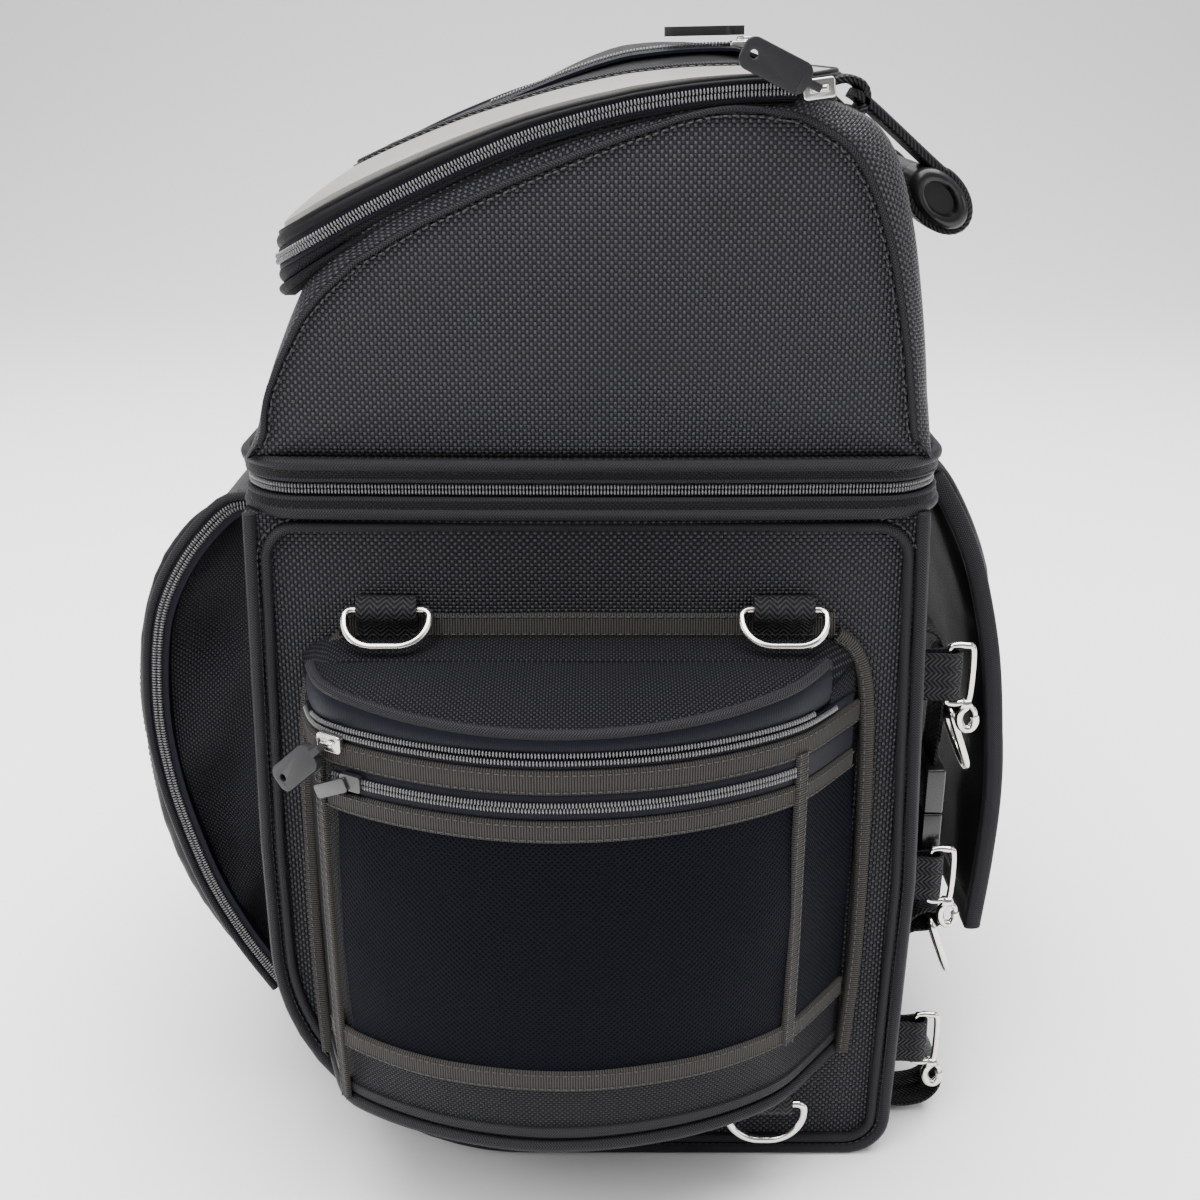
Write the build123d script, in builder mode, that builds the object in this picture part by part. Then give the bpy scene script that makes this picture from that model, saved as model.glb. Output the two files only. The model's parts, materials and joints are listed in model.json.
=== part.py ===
"""Motorcycle tail bag that slips over a sissy bar: lower case, hinged upper case, lid and pockets.

+Z is up, -X is the front of the bag (the bulging pocket), +X is the back (the sissy-bar sleeve),
and the near side faces -Y. The origin is the centre of the base, on its underside. Millimetres.
"""

from build123d import *
import math
import os

os.makedirs("parts", exist_ok=True)

# ---- driving dimensions -----------------------------------------------------------------
HALF_WIDTH = 170.0  # the side panels' outer faces, in Y
WALL = 5.0  # foam-lined panel
GAP = 0.5  # air between two bodies that move past each other

# Lower case, side profile
LOWER_TOP = 318.0
FRONT_X = -146.0
FRONT_TOP_X = -141.0
BACK_X = 145.0
BACK_TOP_X = 138.0
WAIST_Z = 150.0  # height of the fullest part
BASE_BACK_X = 142.0
FRONT_CURVE_R = 115.0
BACK_CURVE_R = 20.0

# Belt: the rim on both halves, and the zip between them
BELT_FRONT_X = -139.0
BELT_BACK_X = 140.0
BELT_CORNER_R = 24.0
RIM_DEPTH = 13.0
TAPE_DEPTH = 3.5
TAPE_THICK = 2.0
BELT_Z = LOWER_TOP + RIM_DEPTH + TAPE_DEPTH + GAP / 2  # middle of the belt zip
UPPER_BASE = BELT_Z + GAP / 2 + TAPE_DEPTH + RIM_DEPTH

# Upper case and the arc of its lid
LID_FRONT = (-108.0, 418.0)
LID_BACK = (90.0, 487.0)
LID_RISE = 11.5  # of the arc above the chord
SHOULDER = (117.0, 465.0)
UPPER_BACK_MID = (130.0, 412.0)
UPPER_FRONT_MID = (-127.0, 389.0)
LID_TAPE = 3.5
LID_THICK = 5.0
LID_REAR_X = 96.0
LID_HALF = 168.0
PAD_HALF = 126.0
LID_CORNER_R = 22.0
LID_OVERHANG = 8.0  # of the lid past the front panel
DIVIDER_THICK = 3.0

# Side pockets: the bowed front is an arc in plan
POCKET_TOP_Z = 271.0
POCKET_FRONT_Z = 256.0
POCKET_BASE_Z = 57.0
POCKET_ZIP_Z = 249.0
POCKET_MID_X = -12.0
POCKET_R = 166.0
POCKET_DEPTH = 68.0
POCKET_HALF = 98.0  # half the bowed front's width
POCKET_WALL_FRONT_X = -122.0
POCKET_WALL_BACK_X = 115.0
POCKET_WALL = 3.0
STRIP_DEPTH = 20.0  # fixed strip of the pocket's top, behind its lid
MESH_LOW = 93.0

# Front pocket: a D in side view
DOOR_TOP = (-152.0, 314.0)
DOOR_BULGE = (-196.0, 205.0)
DOOR_BOTTOM = (-142.0, 66.0)
DOOR_THICK = 8.0
DOOR_HALF = 135.0
GUSSET_THICK = 3.0
GUSSET_FOOT = 72.0

# Sissy-bar sleeve
SLEEVE_HALF = 112.0
SLEEVE_THICK = 9.0
SLEEVE_LOW = 86.0

# Webbing and wire hardware
WEBBING = 25.0
WEBBING_THICK = 2.0
WIRE = 1.7  # radius of ring wire
RING_Z = 283.0
RING_BAR_OUT = 5.0  # ring bar's distance from the wall
RING_FRONT_X = -84.0
RING_BACK_X = 80.0
BASE_RING_X = 79.0
REAR_STRAP_Y = 130.0
TAB_Y = 152.5
TAB_HEIGHTS = (244.0, 143.0, 52.0)
PIPING = 2.6  # radius

# Zip hardware
PULL_LONG = 27.0
PULL_WIDE = 12.0
PULL_THICK = 3.6


# ---- derived places -----------------------------------------------------------------------
def arc_through(a, b, rise):
    """Centre and radius of the arc from a to b that stands rise above their chord."""
    half = math.dist(a, b) / 2
    radius = (half**2 + rise**2) / (2 * rise)
    along = ((b[0] - a[0]) / (2 * half), (b[1] - a[1]) / (2 * half))
    across = (-along[1], along[0])
    drop = radius - rise
    centre = ((a[0] + b[0]) / 2 - across[0] * drop, (a[1] + b[1]) / 2 - across[1] * drop)
    return centre, radius


LID_CENTRE, LID_R = arc_through(LID_FRONT, LID_BACK, LID_RISE)
POCKET_CENTRE_Y = -(HALF_WIDTH + POCKET_DEPTH) + POCKET_R
DOOR_CHORD_MID = ((DOOR_TOP[0] + DOOR_BOTTOM[0]) / 2, (DOOR_TOP[1] + DOOR_BOTTOM[1]) / 2)
DOOR_RISE = math.dist(DOOR_CHORD_MID, DOOR_BULGE)
DOOR_CENTRE, DOOR_R = arc_through(DOOR_BOTTOM, DOOR_TOP, DOOR_RISE)


def on_lid(x, above=0.0):
    """Height of the lid's arc at x, with the arc's radius grown by above."""
    return LID_CENTRE[1] + math.sqrt((LID_R + above) ** 2 - (x - LID_CENTRE[0]) ** 2)


def back_x(height):
    """X of the lower case's back at a height."""
    if height > WAIST_Z:
        return BACK_X - (BACK_X - BACK_TOP_X) * (height - WAIST_Z) / (LOWER_TOP - WAIST_Z)
    return BASE_BACK_X + (BACK_X - BASE_BACK_X) * height / WAIST_Z


def front_curve_x(height):
    """X of the curve at the foot of the lower case's front."""
    return FRONT_X + FRONT_CURVE_R - math.sqrt(FRONT_CURVE_R**2 - (FRONT_CURVE_R - height) ** 2)


def finish(part, name):
    """Labels a piece and writes its STEP."""
    part.label = name
    export_step(part, f"parts/{name}.step")


def side_name(stem, side):
    """Node name for the near (-1) or far (+1) copy of a piece."""
    return f"{stem}_{'near' if side < 0 else 'far'}"


def lower_profile(plane, inset=0.0):
    """Side profile of the lower case as a face on plane, with its walls moved in by inset."""
    with BuildSketch(plane, mode=Mode.PRIVATE) as sketch:
        with BuildLine():
            FilletPolyline(
                (FRONT_TOP_X + inset, LOWER_TOP),
                (BACK_TOP_X - inset, LOWER_TOP),
                (BACK_X - inset, WAIST_Z),
                (BASE_BACK_X - inset, inset),
                (FRONT_X + inset, inset),
                (FRONT_X + inset, WAIST_Z + 20),
                radius=[0, 0, 0, BACK_CURVE_R - inset, FRONT_CURVE_R - inset, 0],
                close=True,
            )
        make_face()
    return sketch.sketch


def upper_profile(plane, inset=0.0):
    """Side profile of the upper case as a face on plane, up to the underside of the lid's zip."""
    drop = LID_TAPE + inset
    front_x = LID_FRONT[0] + inset
    back_x = LID_BACK[0] - inset / 2
    with BuildSketch(plane, mode=Mode.PRIVATE) as sketch:
        with BuildLine():
            front = (front_x, on_lid(front_x, -drop))
            back = (back_x, on_lid(back_x, -drop))
            ThreePointArc(front, (0, on_lid(0, -drop)), back)
            Polyline(
                back,
                (SHOULDER[0] - inset, SHOULDER[1] - inset / 2),
                (UPPER_BACK_MID[0] - inset, UPPER_BACK_MID[1]),
                (BACK_TOP_X - inset, UPPER_BASE),
                (FRONT_TOP_X + inset, UPPER_BASE),
                (UPPER_FRONT_MID[0] + inset, UPPER_FRONT_MID[1]),
                front,
            )
        make_face()
    return sketch.sketch


def lid_band(plane, inner, outer, front_x, back_x):
    """Strip of the lid's arc on plane between two distances above the zip's line."""
    with BuildSketch(plane, mode=Mode.PRIVATE) as sketch:
        with BuildLine():
            low = ThreePointArc(
                (front_x, on_lid(front_x, inner)),
                (0, on_lid(0, inner)),
                (back_x, on_lid(back_x, inner)),
            )
            high = ThreePointArc(
                (front_x, on_lid(front_x, outer)),
                (0, on_lid(0, outer)),
                (back_x, on_lid(back_x, outer)),
            )
            Line(low @ 0, high @ 0)
            Line(low @ 1, high @ 1)
        make_face()
    return sketch.sketch


def door_point(height, grow=0.0):
    """Point of the front pocket's arc at a height, with the arc's radius grown."""
    radius = DOOR_R + grow
    return DOOR_CENTRE[0] - math.sqrt(radius**2 - (height - DOOR_CENTRE[1]) ** 2), height


def raised(face, height):
    """A flat face moved up to a height."""
    return face.moved(Location((0, 0, height)))


def pocket_outline(side, inset, back_y, depth=0.0):
    """Plan of a side pocket on XY: a bowed front, slanting ends and a straight back."""
    radius = POCKET_R - inset - depth
    half = POCKET_HALF - inset
    end_y = POCKET_CENTRE_Y - math.sqrt(radius**2 - half**2)
    with BuildSketch(Plane.XY, mode=Mode.PRIVATE) as sketch:
        with BuildLine():
            left = (POCKET_MID_X - half, -side * end_y)
            right = (POCKET_MID_X + half, -side * end_y)
            ThreePointArc(left, (POCKET_MID_X, -side * (POCKET_CENTRE_Y - radius)), right)
            Polyline(
                right,
                (POCKET_WALL_BACK_X - inset, side * back_y),
                (POCKET_WALL_FRONT_X + inset, side * back_y),
                left,
            )
        make_face()
    return sketch.sketch


def box_between(low, high):
    """A box from its lowest to its highest corner."""
    size = [high[i] - low[i] for i in range(3)]
    return Pos(*low) * Box(*size, align=(Align.MIN, Align.MIN, Align.MIN), mode=Mode.PRIVATE)


def across(side, near, far):
    """Lowest and highest Y of a span that lies between two distances out from the middle."""
    return min(side * near, side * far), max(side * near, side * far)


def wire_ring(plane, width, depth):
    """A D of round wire on plane: its bar along the plane's X through its origin, its bow to -Y."""
    bend = 2 * WIRE
    bow = min(width / 2 - 1, depth - bend - 1)
    with BuildPart(mode=Mode.PRIVATE) as ring:
        with BuildLine(plane) as path:
            FilletPolyline(
                (0, 0),
                (width / 2, 0),
                (width / 2, -depth),
                (-width / 2, -depth),
                (-width / 2, 0),
                radius=[0, bend, bow, bow, bend],
                close=True,
            )
        with BuildSketch(Plane(origin=path.line @ 0, z_dir=path.line % 0)):
            Circle(WIRE)
        sweep()
    return ring.part


def xz_at(y):
    """XZ plane at a Y; it faces -Y."""
    return Plane.XZ.offset(-y)


def belt_ring(grow, thick):
    """Plan of a ring that follows the belt, its outside grown past the belt's own outline."""
    long = BELT_BACK_X - BELT_FRONT_X + 2 * grow
    wide = 2 * (HALF_WIDTH + grow)
    with BuildSketch(Plane.XY, mode=Mode.PRIVATE) as sketch:
        with Locations(((BELT_BACK_X + BELT_FRONT_X) / 2, 0)):
            RectangleRounded(long, wide, BELT_CORNER_R + grow)
            RectangleRounded(
                long - 2 * thick,
                wide - 2 * thick,
                BELT_CORNER_R + grow - thick,
                mode=Mode.SUBTRACT,
            )
    return sketch.sketch


# ---- lower case ------------------------------------------------------------------------------
for side in (-1, 1):
    low, high = across(side, HALF_WIDTH - WALL, HALF_WIDTH)
    with BuildPart() as lower_side:
        extrude(lower_profile(xz_at(high)), amount=WALL)
    finish(lower_side.part, side_name("lower_side", side))

with BuildPart() as lower_walls:
    extrude(lower_profile(xz_at(HALF_WIDTH - WALL)), amount=2 * (HALF_WIDTH - WALL))
    extrude(lower_profile(xz_at(HALF_WIDTH), WALL), amount=2 * HALF_WIDTH, mode=Mode.SUBTRACT)

FRONT_END_X = FRONT_X + FRONT_CURVE_R  # where the front's curve runs out into the base
BASE_END_X = BASE_BACK_X - BACK_CURVE_R
with BuildPart() as lower_front:
    add(lower_walls.part)
    add(box_between((-200, -200, -1), (FRONT_END_X, 200, 400)), mode=Mode.INTERSECT)
finish(lower_front.part, "lower_front")

with BuildPart() as base_panel:
    add(lower_walls.part)
    add(box_between((FRONT_END_X, -200, -1), (BASE_END_X, 200, 50)), mode=Mode.INTERSECT)
finish(base_panel.part, "base_panel")

with BuildPart() as lower_back:
    add(lower_walls.part)
    add(box_between((BASE_END_X, -200, -1), (200, 200, 400)), mode=Mode.INTERSECT)
finish(lower_back.part, "lower_back")

BOARD_THICK = 3.0
with BuildPart() as base_board:
    with BuildSketch(Plane.XY.offset(WALL)):
        with Locations(((FRONT_END_X + BASE_END_X) / 2, 0)):
            RectangleRounded(BASE_END_X - FRONT_END_X - 6, 2 * HALF_WIDTH - 40, 8)
    extrude(amount=BOARD_THICK)
finish(base_board.part, "base_board")

with BuildPart() as lower_rim:
    extrude(belt_ring(1.5, WALL).moved(Location((0, 0, LOWER_TOP))), amount=RIM_DEPTH)
finish(lower_rim.part, "lower_rim")

# Piping round each lower side panel, a narrow raised cord on the seam
with BuildPart() as lower_piping:
    for side in (-1, 1):
        low, high = across(side, HALF_WIDTH, HALF_WIDTH + PIPING)
        extrude(lower_profile(xz_at(high), 1.0), amount=PIPING)
        extrude(lower_profile(xz_at(high), 1.0 + 2 * PIPING), amount=PIPING, mode=Mode.SUBTRACT)
finish(lower_piping.part, "lower_piping")

# ---- sissy-bar sleeve: a padded panel closed at its top, open below and at its sides ----------
SLEEVE_LINE = ((150.0, 326.0), (165.0, 296.0), (181.0, 238.0), (189.0, 160.0), (184.0, SLEEVE_LOW))
with BuildPart() as sissy_bar_sleeve:
    with BuildSketch(xz_at(SLEEVE_HALF)):
        with BuildLine():
            inside = Spline(*SLEEVE_LINE)
            outside = Spline(*[(x + SLEEVE_THICK, z + 1) for x, z in SLEEVE_LINE])
            Line(inside @ 0, outside @ 0)
            Line(inside @ 1, outside @ 1)
        make_face()
    extrude(amount=2 * SLEEVE_HALF)
    # The web that joins the panel's top to the back of the case
    with BuildSketch(xz_at(SLEEVE_HALF)):
        with BuildLine():
            Polyline(
                (back_x(300), 300),
                (back_x(LOWER_TOP), LOWER_TOP),
                (BELT_BACK_X + 2.5, LOWER_TOP),
                (BELT_BACK_X + 2.5, 326),
                (158, 326),
                (165, 300),
                close=True,
            )
        make_face()
    extrude(amount=2 * SLEEVE_HALF)
    # Side webs, only at the top
    for side in (-1, 1):
        low, high = across(side, SLEEVE_HALF - 3, SLEEVE_HALF)
        with BuildSketch(xz_at(high)):
            with BuildLine():
                Polyline((back_x(316), 316), (back_x(282), 282), (171, 282), (158, 316), close=True)
            make_face()
        extrude(amount=3)
finish(sissy_bar_sleeve.part, "sissy_bar_sleeve")

# ---- rear webbing, rings, hooks and buckles ---------------------------------------------------
TAB_OUT_X = 160.0
TAB_HOLE = 5.0
with BuildPart() as back_tabs:
    for side in (-1, 1):
        low, high = across(side, TAB_Y - 4, TAB_Y + 4)
        for height in TAB_HEIGHTS:
            half = WEBBING / 2 - 1.5
            add(box_between((BACK_X + 0.5, low, height - half), (TAB_OUT_X, high, height + half)))
            hole_low = (TAB_OUT_X - 1.5 - TAB_HOLE, side * TAB_Y - TAB_HOLE / 2, height - half)
            hole_high = (TAB_OUT_X - 1.5, side * TAB_Y + TAB_HOLE / 2, height + half)
            add(box_between(hole_low, hole_high), mode=Mode.SUBTRACT)
finish(back_tabs.part, "back_tabs")

HOOK_X = TAB_OUT_X - 1.5 - TAB_HOLE / 2
HOOK_LONG = 30.0
for side in (-1, 1):
    with BuildPart() as snap_hooks:
        for height in TAB_HEIGHTS:
            eye = Plane(origin=(HOOK_X, side * TAB_Y, height), x_dir=(0, 0, 1), z_dir=(0, -1, 0))
            add(wire_ring(eye, WEBBING + 2, 9.0))
            with BuildSketch(xz_at(side * TAB_Y + WIRE)):
                with Locations((HOOK_X + 10.5, height - 12)):
                    Rectangle(4.0, HOOK_LONG)
            extrude(amount=2 * WIRE)
    finish(snap_hooks.part, side_name("snap_hooks", side))

STRAP_X = 156.0
STRAP_TOP_Z = 262.0
UPPER_RING_Z = 222.0
BUCKLE_TOP_Z = 194.0
BUCKLE_SPLIT_Z = 172.0
BUCKLE_LOW_Z = 150.0
LOWER_RING_Z = 112.0
BAR_GAP = 5.0
with BuildPart() as rear_straps:
    for side in (-1, 1):
        low, high = across(side, REAR_STRAP_Y - WEBBING / 2, REAR_STRAP_Y + WEBBING / 2)
        # Sewn head, the fall that carries the upper ring, and the tail that carries the lower one
        head = (back_x(STRAP_TOP_Z - 10), low, STRAP_TOP_Z - 10)
        add(box_between(head, (STRAP_X, high, STRAP_TOP_Z)))
        add(box_between((STRAP_X, low, BUCKLE_TOP_Z), (STRAP_X + 2, high, STRAP_TOP_Z)))
        add(box_between((STRAP_X + 2, low, UPPER_RING_Z - 5), (STRAP_X + 9, high, UPPER_RING_Z + 5)))
        hole = (STRAP_X + 2.5, low, UPPER_RING_Z - BAR_GAP / 2)
        add(box_between(hole, (STRAP_X + 7.5, high, UPPER_RING_Z + BAR_GAP / 2)), mode=Mode.SUBTRACT)
        add(box_between((146.5, low, 8), (148.5, high, LOWER_RING_Z + 12)))
        add(box_between((148.5, low, LOWER_RING_Z - 5), (STRAP_X + 9, high, LOWER_RING_Z + 5)))
        hole = (STRAP_X + 2.5, low, LOWER_RING_Z - BAR_GAP / 2)
        add(box_between(hole, (STRAP_X + 7.5, high, LOWER_RING_Z + BAR_GAP / 2)), mode=Mode.SUBTRACT)
        add(box_between((back_x(32), low, 22), (146.5, high, 32)))
finish(rear_straps.part, "rear_straps")

REAR_RING_DEPTH = 34.0
REAR_RING_WIDE = 30.0
REAR_RING_X = STRAP_X + 5.0
for name, height in (("rear_rings_upper", UPPER_RING_Z), ("rear_rings_lower", LOWER_RING_Z)):
    with BuildPart() as rear_rings:
        for side in (-1, 1):
            centre = (REAR_RING_X, side * REAR_STRAP_Y, height)
            hang = Plane(origin=centre, x_dir=(0, 1, 0), z_dir=(0.94, 0, 0.34))
            add(wire_ring(hang, REAR_RING_WIDE, REAR_RING_DEPTH))
    finish(rear_rings.part, name)

BUCKLE_WIDE = 34.0
BUCKLE_THICK = 9.0
with BuildPart() as buckle_sockets:
    for side in (-1, 1):
        centre_y = side * REAR_STRAP_Y
        low = (STRAP_X - 4, centre_y - BUCKLE_WIDE / 2, BUCKLE_SPLIT_Z)
        high = (STRAP_X - 4 + BUCKLE_THICK, centre_y + BUCKLE_WIDE / 2, BUCKLE_TOP_Z)
        add(box_between(low, high))
        low = (STRAP_X - 2, centre_y - BUCKLE_WIDE / 2 + 4, BUCKLE_SPLIT_Z)
        high = (STRAP_X + 3, centre_y + BUCKLE_WIDE / 2 - 4, BUCKLE_TOP_Z - 4)
        add(box_between(low, high), mode=Mode.SUBTRACT)
finish(buckle_sockets.part, "buckle_sockets")

for side in (-1, 1):
    centre_y = side * REAR_STRAP_Y
    with BuildPart() as buckle_plug:
        low = (STRAP_X - 4, centre_y - BUCKLE_WIDE / 2, BUCKLE_LOW_Z)
        high = (STRAP_X - 4 + BUCKLE_THICK, centre_y + BUCKLE_WIDE / 2, BUCKLE_SPLIT_Z - GAP)
        add(box_between(low, high))
        low = (STRAP_X - 1.5, centre_y - BUCKLE_WIDE / 2 + 4.5, BUCKLE_SPLIT_Z - GAP)
        high = (STRAP_X + 2.5, centre_y + BUCKLE_WIDE / 2 - 4.5, BUCKLE_TOP_Z - 5)
        add(box_between(low, high))
        low = (STRAP_X - 0.5, centre_y - WEBBING / 2, BUCKLE_LOW_Z - 12)
        high = (STRAP_X + 1.5, centre_y + WEBBING / 2, BUCKLE_LOW_Z)
        add(box_between(low, high))
    finish(buckle_plug.part, side_name("buckle_plug", side))

# ---- side pockets ----------------------------------------------------------------------------
SEAM_Z = POCKET_ZIP_Z - 2.0  # the lid's skirt meets the pocket's rim here
HINGE_OUT = HALF_WIDTH + STRIP_DEPTH
for side in (-1, 1):
    slope = Plane(
        origin=(0, side * HALF_WIDTH, POCKET_TOP_Z),
        x_dir=(1, 0, 0),
        z_dir=(0, side * (POCKET_TOP_Z - POCKET_FRONT_Z), POCKET_DEPTH),
    )
    with BuildPart() as pocket_cap:
        extrude(raised(pocket_outline(side, 0, HALF_WIDTH), SEAM_Z), amount=40)
        split(bisect_by=slope, keep=Keep.BOTTOM)
    with BuildPart() as cap_hollow:
        extrude(raised(pocket_outline(side, POCKET_WALL, HALF_WIDTH - 1), SEAM_Z - 1), amount=45)
        split(bisect_by=slope.offset(-POCKET_WALL), keep=Keep.BOTTOM)
    low, high = across(side, 0, HINGE_OUT)
    with BuildPart() as side_pocket:
        extrude(raised(pocket_outline(side, 0, HALF_WIDTH), POCKET_BASE_Z), amount=SEAM_Z - POCKET_BASE_Z)
        inside = raised(pocket_outline(side, POCKET_WALL, HALF_WIDTH - 1), POCKET_BASE_Z + POCKET_WALL)
        extrude(inside, amount=SEAM_Z, mode=Mode.SUBTRACT)
        strip = pocket_cap.part - cap_hollow.part
        add(strip & box_between((-200, low, 0), (200, high, 400)))
    finish(side_pocket.part, side_name("side_pocket", side))
    low, high = across(side, HINGE_OUT + GAP, HINGE_OUT + 100)
    with BuildPart() as pocket_lid:
        add(pocket_cap.part)
        add(cap_hollow.part, mode=Mode.SUBTRACT)
        add(box_between((-200, low, SEAM_Z + GAP), (200, high, 400)), mode=Mode.INTERSECT)
    finish(pocket_lid.part, side_name("pocket_lid", side))

MESH_ZIP_LOW = 222.0
MESH_ZIP_HIGH = 232.0
FACE_LEFT_X = POCKET_MID_X - POCKET_HALF + 2
FACE_RIGHT_X = POCKET_MID_X + POCKET_HALF - 2


def face_bands(bands, thick):
    """Solids that lie on both pockets' bowed fronts, one for each pair of heights."""
    with BuildPart(mode=Mode.PRIVATE) as skins:
        for side in (-1, 1):
            for low_z, high_z in bands:
                extrude(raised(pocket_outline(side, -thick, HALF_WIDTH), low_z), amount=high_z - low_z)
        for side in (-1, 1):
            extrude(pocket_outline(side, 0, HALF_WIDTH - 1), amount=400, mode=Mode.SUBTRACT)
        for x0, x1 in ((-300, FACE_LEFT_X), (FACE_RIGHT_X, 300)):
            add(box_between((x0, -300, 0), (x1, 300, 400)), mode=Mode.SUBTRACT)
    return skins.part


with BuildPart() as mesh_panels:
    add(face_bands([(MESH_LOW, MESH_ZIP_LOW)], 2.0))
finish(mesh_panels.part, "mesh_panels")

RING_PAIR = (RING_FRONT_X, RING_BACK_X)
with BuildPart() as ring_tabs:
    for side in (-1, 1):
        for centre_x in RING_PAIR:
            low, high = across(side, HALF_WIDTH, HALF_WIDTH + 9)
            x0 = centre_x - WEBBING / 2
            x1 = centre_x + WEBBING / 2
            add(box_between((x0, low, RING_Z - 4.5), (x1, high, RING_Z + 4.5)))
            low, high = across(side, HALF_WIDTH + RING_BAR_OUT - 2.5, HALF_WIDTH + RING_BAR_OUT + 2.5)
            add(box_between((x0, low, RING_Z - 2.5), (x1, high, RING_Z + 2.5)), mode=Mode.SUBTRACT)
        # Loop under the pocket for the lower ring
        low, high = across(side, HALF_WIDTH + 24, HALF_WIDTH + 36)
        x0 = BASE_RING_X - WEBBING / 2
        add(box_between((x0, low, POCKET_BASE_Z - 9), (x0 + WEBBING, high, POCKET_BASE_Z)))
        low, high = across(side, HALF_WIDTH + 27.5, HALF_WIDTH + 32.5)
        add(
            box_between((x0, low, POCKET_BASE_Z - 7), (x0 + WEBBING, high, POCKET_BASE_Z - 2)),
            mode=Mode.SUBTRACT,
        )
finish(ring_tabs.part, "ring_tabs")

RING_WIDE = 35.0
RING_DEPTH = 17.0
for side in (-1, 1):
    with BuildPart() as rings:
        for centre_x in RING_PAIR:
            centre = (centre_x, side * (HALF_WIDTH + RING_BAR_OUT), RING_Z)
            # Each ring lies out and down, its bow resting over the pocket's strip
            lying = Plane(origin=centre, x_dir=(-side, 0, 0), z_dir=(0, side * 0.65, 0.76))
            add(wire_ring(lying, RING_WIDE, RING_DEPTH))
    finish(rings.part, side_name("rings", side))
    with BuildPart() as base_ring:
        centre = (BASE_RING_X, side * (HALF_WIDTH + 30), POCKET_BASE_Z - 4.5)
        add(wire_ring(Plane(origin=centre, x_dir=(1, 0, 0), z_dir=(0, -1, 0)), RING_WIDE, 20.0))
    finish(base_ring.part, side_name("base_ring", side))

# ---- front pocket: gussets on the case, and a padded door that hinges along its bottom ---------
with BuildPart() as front_gussets:
    for side in (-1, 1):
        low, high = across(side, DOOR_HALF - GUSSET_THICK, DOOR_HALF)
        with BuildSketch(xz_at(high)):
            with BuildLine():
                bow = ThreePointArc(door_point(DOOR_TOP[1]), door_point(200), door_point(DOOR_BOTTOM[1] + 4))
                clear = 0.2
                foot = (front_curve_x(GUSSET_FOOT) - clear, GUSSET_FOOT)
                knee = (front_curve_x(95) - clear, 95)
                shin = (FRONT_X - clear, FRONT_CURVE_R)
                Line(bow @ 1, foot)
                ThreePointArc(foot, knee, shin)
                Polyline(
                    shin,
                    (FRONT_X - clear, WAIST_Z + 20),
                    (FRONT_TOP_X - clear, DOOR_TOP[1]),
                    bow @ 0,
                )
            make_face()
        extrude(amount=GUSSET_THICK)
finish(front_gussets.part, "front_gussets")

with BuildPart() as front_door:
    with BuildSketch(xz_at(DOOR_HALF)):
        with BuildLine():
            near = ThreePointArc(
                door_point(DOOR_TOP[1] + 2, GAP), door_point(200, GAP), door_point(DOOR_BOTTOM[1] + 4, GAP)
            )
            far = ThreePointArc(
                door_point(DOOR_TOP[1] + 2, DOOR_THICK),
                door_point(200, DOOR_THICK),
                door_point(DOOR_BOTTOM[1] + 4, DOOR_THICK),
            )
            Line(near @ 0, far @ 0)
            Line(near @ 1, far @ 1)
        make_face()
    extrude(amount=2 * DOOR_HALF)
finish(front_door.part, "front_door")

# ---- zips sewn to the lower case -----------------------------------------------------------------
with BuildPart() as lower_case_zips:
    extrude(belt_ring(0.5, TAPE_THICK).moved(Location((0, 0, LOWER_TOP + RIM_DEPTH))), amount=TAPE_DEPTH)
    add(face_bands([(MESH_ZIP_LOW, MESH_ZIP_HIGH), (SEAM_Z - 7, SEAM_Z)], 2.0))
    for side in (-1, 1):
        low, high = across(side, DOOR_HALF, DOOR_HALF + 1.5)
        with BuildSketch(xz_at(high)):
            with BuildLine():
                near = ThreePointArc(
                    door_point(DOOR_TOP[1] - 2, -5), door_point(200, -5), door_point(DOOR_BOTTOM[1] + 12, -5)
                )
                far = ThreePointArc(
                    door_point(DOOR_TOP[1] - 2), door_point(200), door_point(DOOR_BOTTOM[1] + 12)
                )
                Line(near @ 0, far @ 0)
                Line(near @ 1, far @ 1)
            make_face()
        extrude(amount=1.5)
finish(lower_case_zips.part, "lower_case_zips")

# ---- upper case --------------------------------------------------------------------------------
for side in (-1, 1):
    low, high = across(side, HALF_WIDTH - WALL, HALF_WIDTH)
    with BuildPart() as upper_side:
        extrude(upper_profile(xz_at(high)), amount=WALL)
    finish(upper_side.part, side_name("upper_side", side))

with BuildPart() as upper_walls:
    extrude(upper_profile(xz_at(HALF_WIDTH - WALL)), amount=2 * (HALF_WIDTH - WALL))
    extrude(upper_profile(xz_at(HALF_WIDTH), WALL), amount=2 * HALF_WIDTH, mode=Mode.SUBTRACT)
    add(box_between((-300, -300, UPPER_BASE - 1), (300, 300, UPPER_BASE + 0.01)), mode=Mode.SUBTRACT)

with BuildPart() as upper_front:
    add(upper_walls.part)
    add(box_between((-200, -200, 300), (LID_FRONT[0] + WALL + 3, 200, 600)), mode=Mode.INTERSECT)
finish(upper_front.part, "upper_front")

with BuildPart() as upper_back:
    add(upper_walls.part)
    add(box_between((LID_BACK[0] - 3, -200, 300), (200, 200, 600)), mode=Mode.INTERSECT)
finish(upper_back.part, "upper_back")

with BuildPart() as divider_panel:
    with BuildSketch(Plane.XY.offset(UPPER_BASE - DIVIDER_THICK)):
        with Locations(((BELT_BACK_X + BELT_FRONT_X) / 2, 0)):
            long = BELT_BACK_X - BELT_FRONT_X - 2 * WALL
            RectangleRounded(long, 2 * (HALF_WIDTH - WALL), BELT_CORNER_R - WALL)
    extrude(amount=DIVIDER_THICK)
finish(divider_panel.part, "divider_panel")

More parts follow.
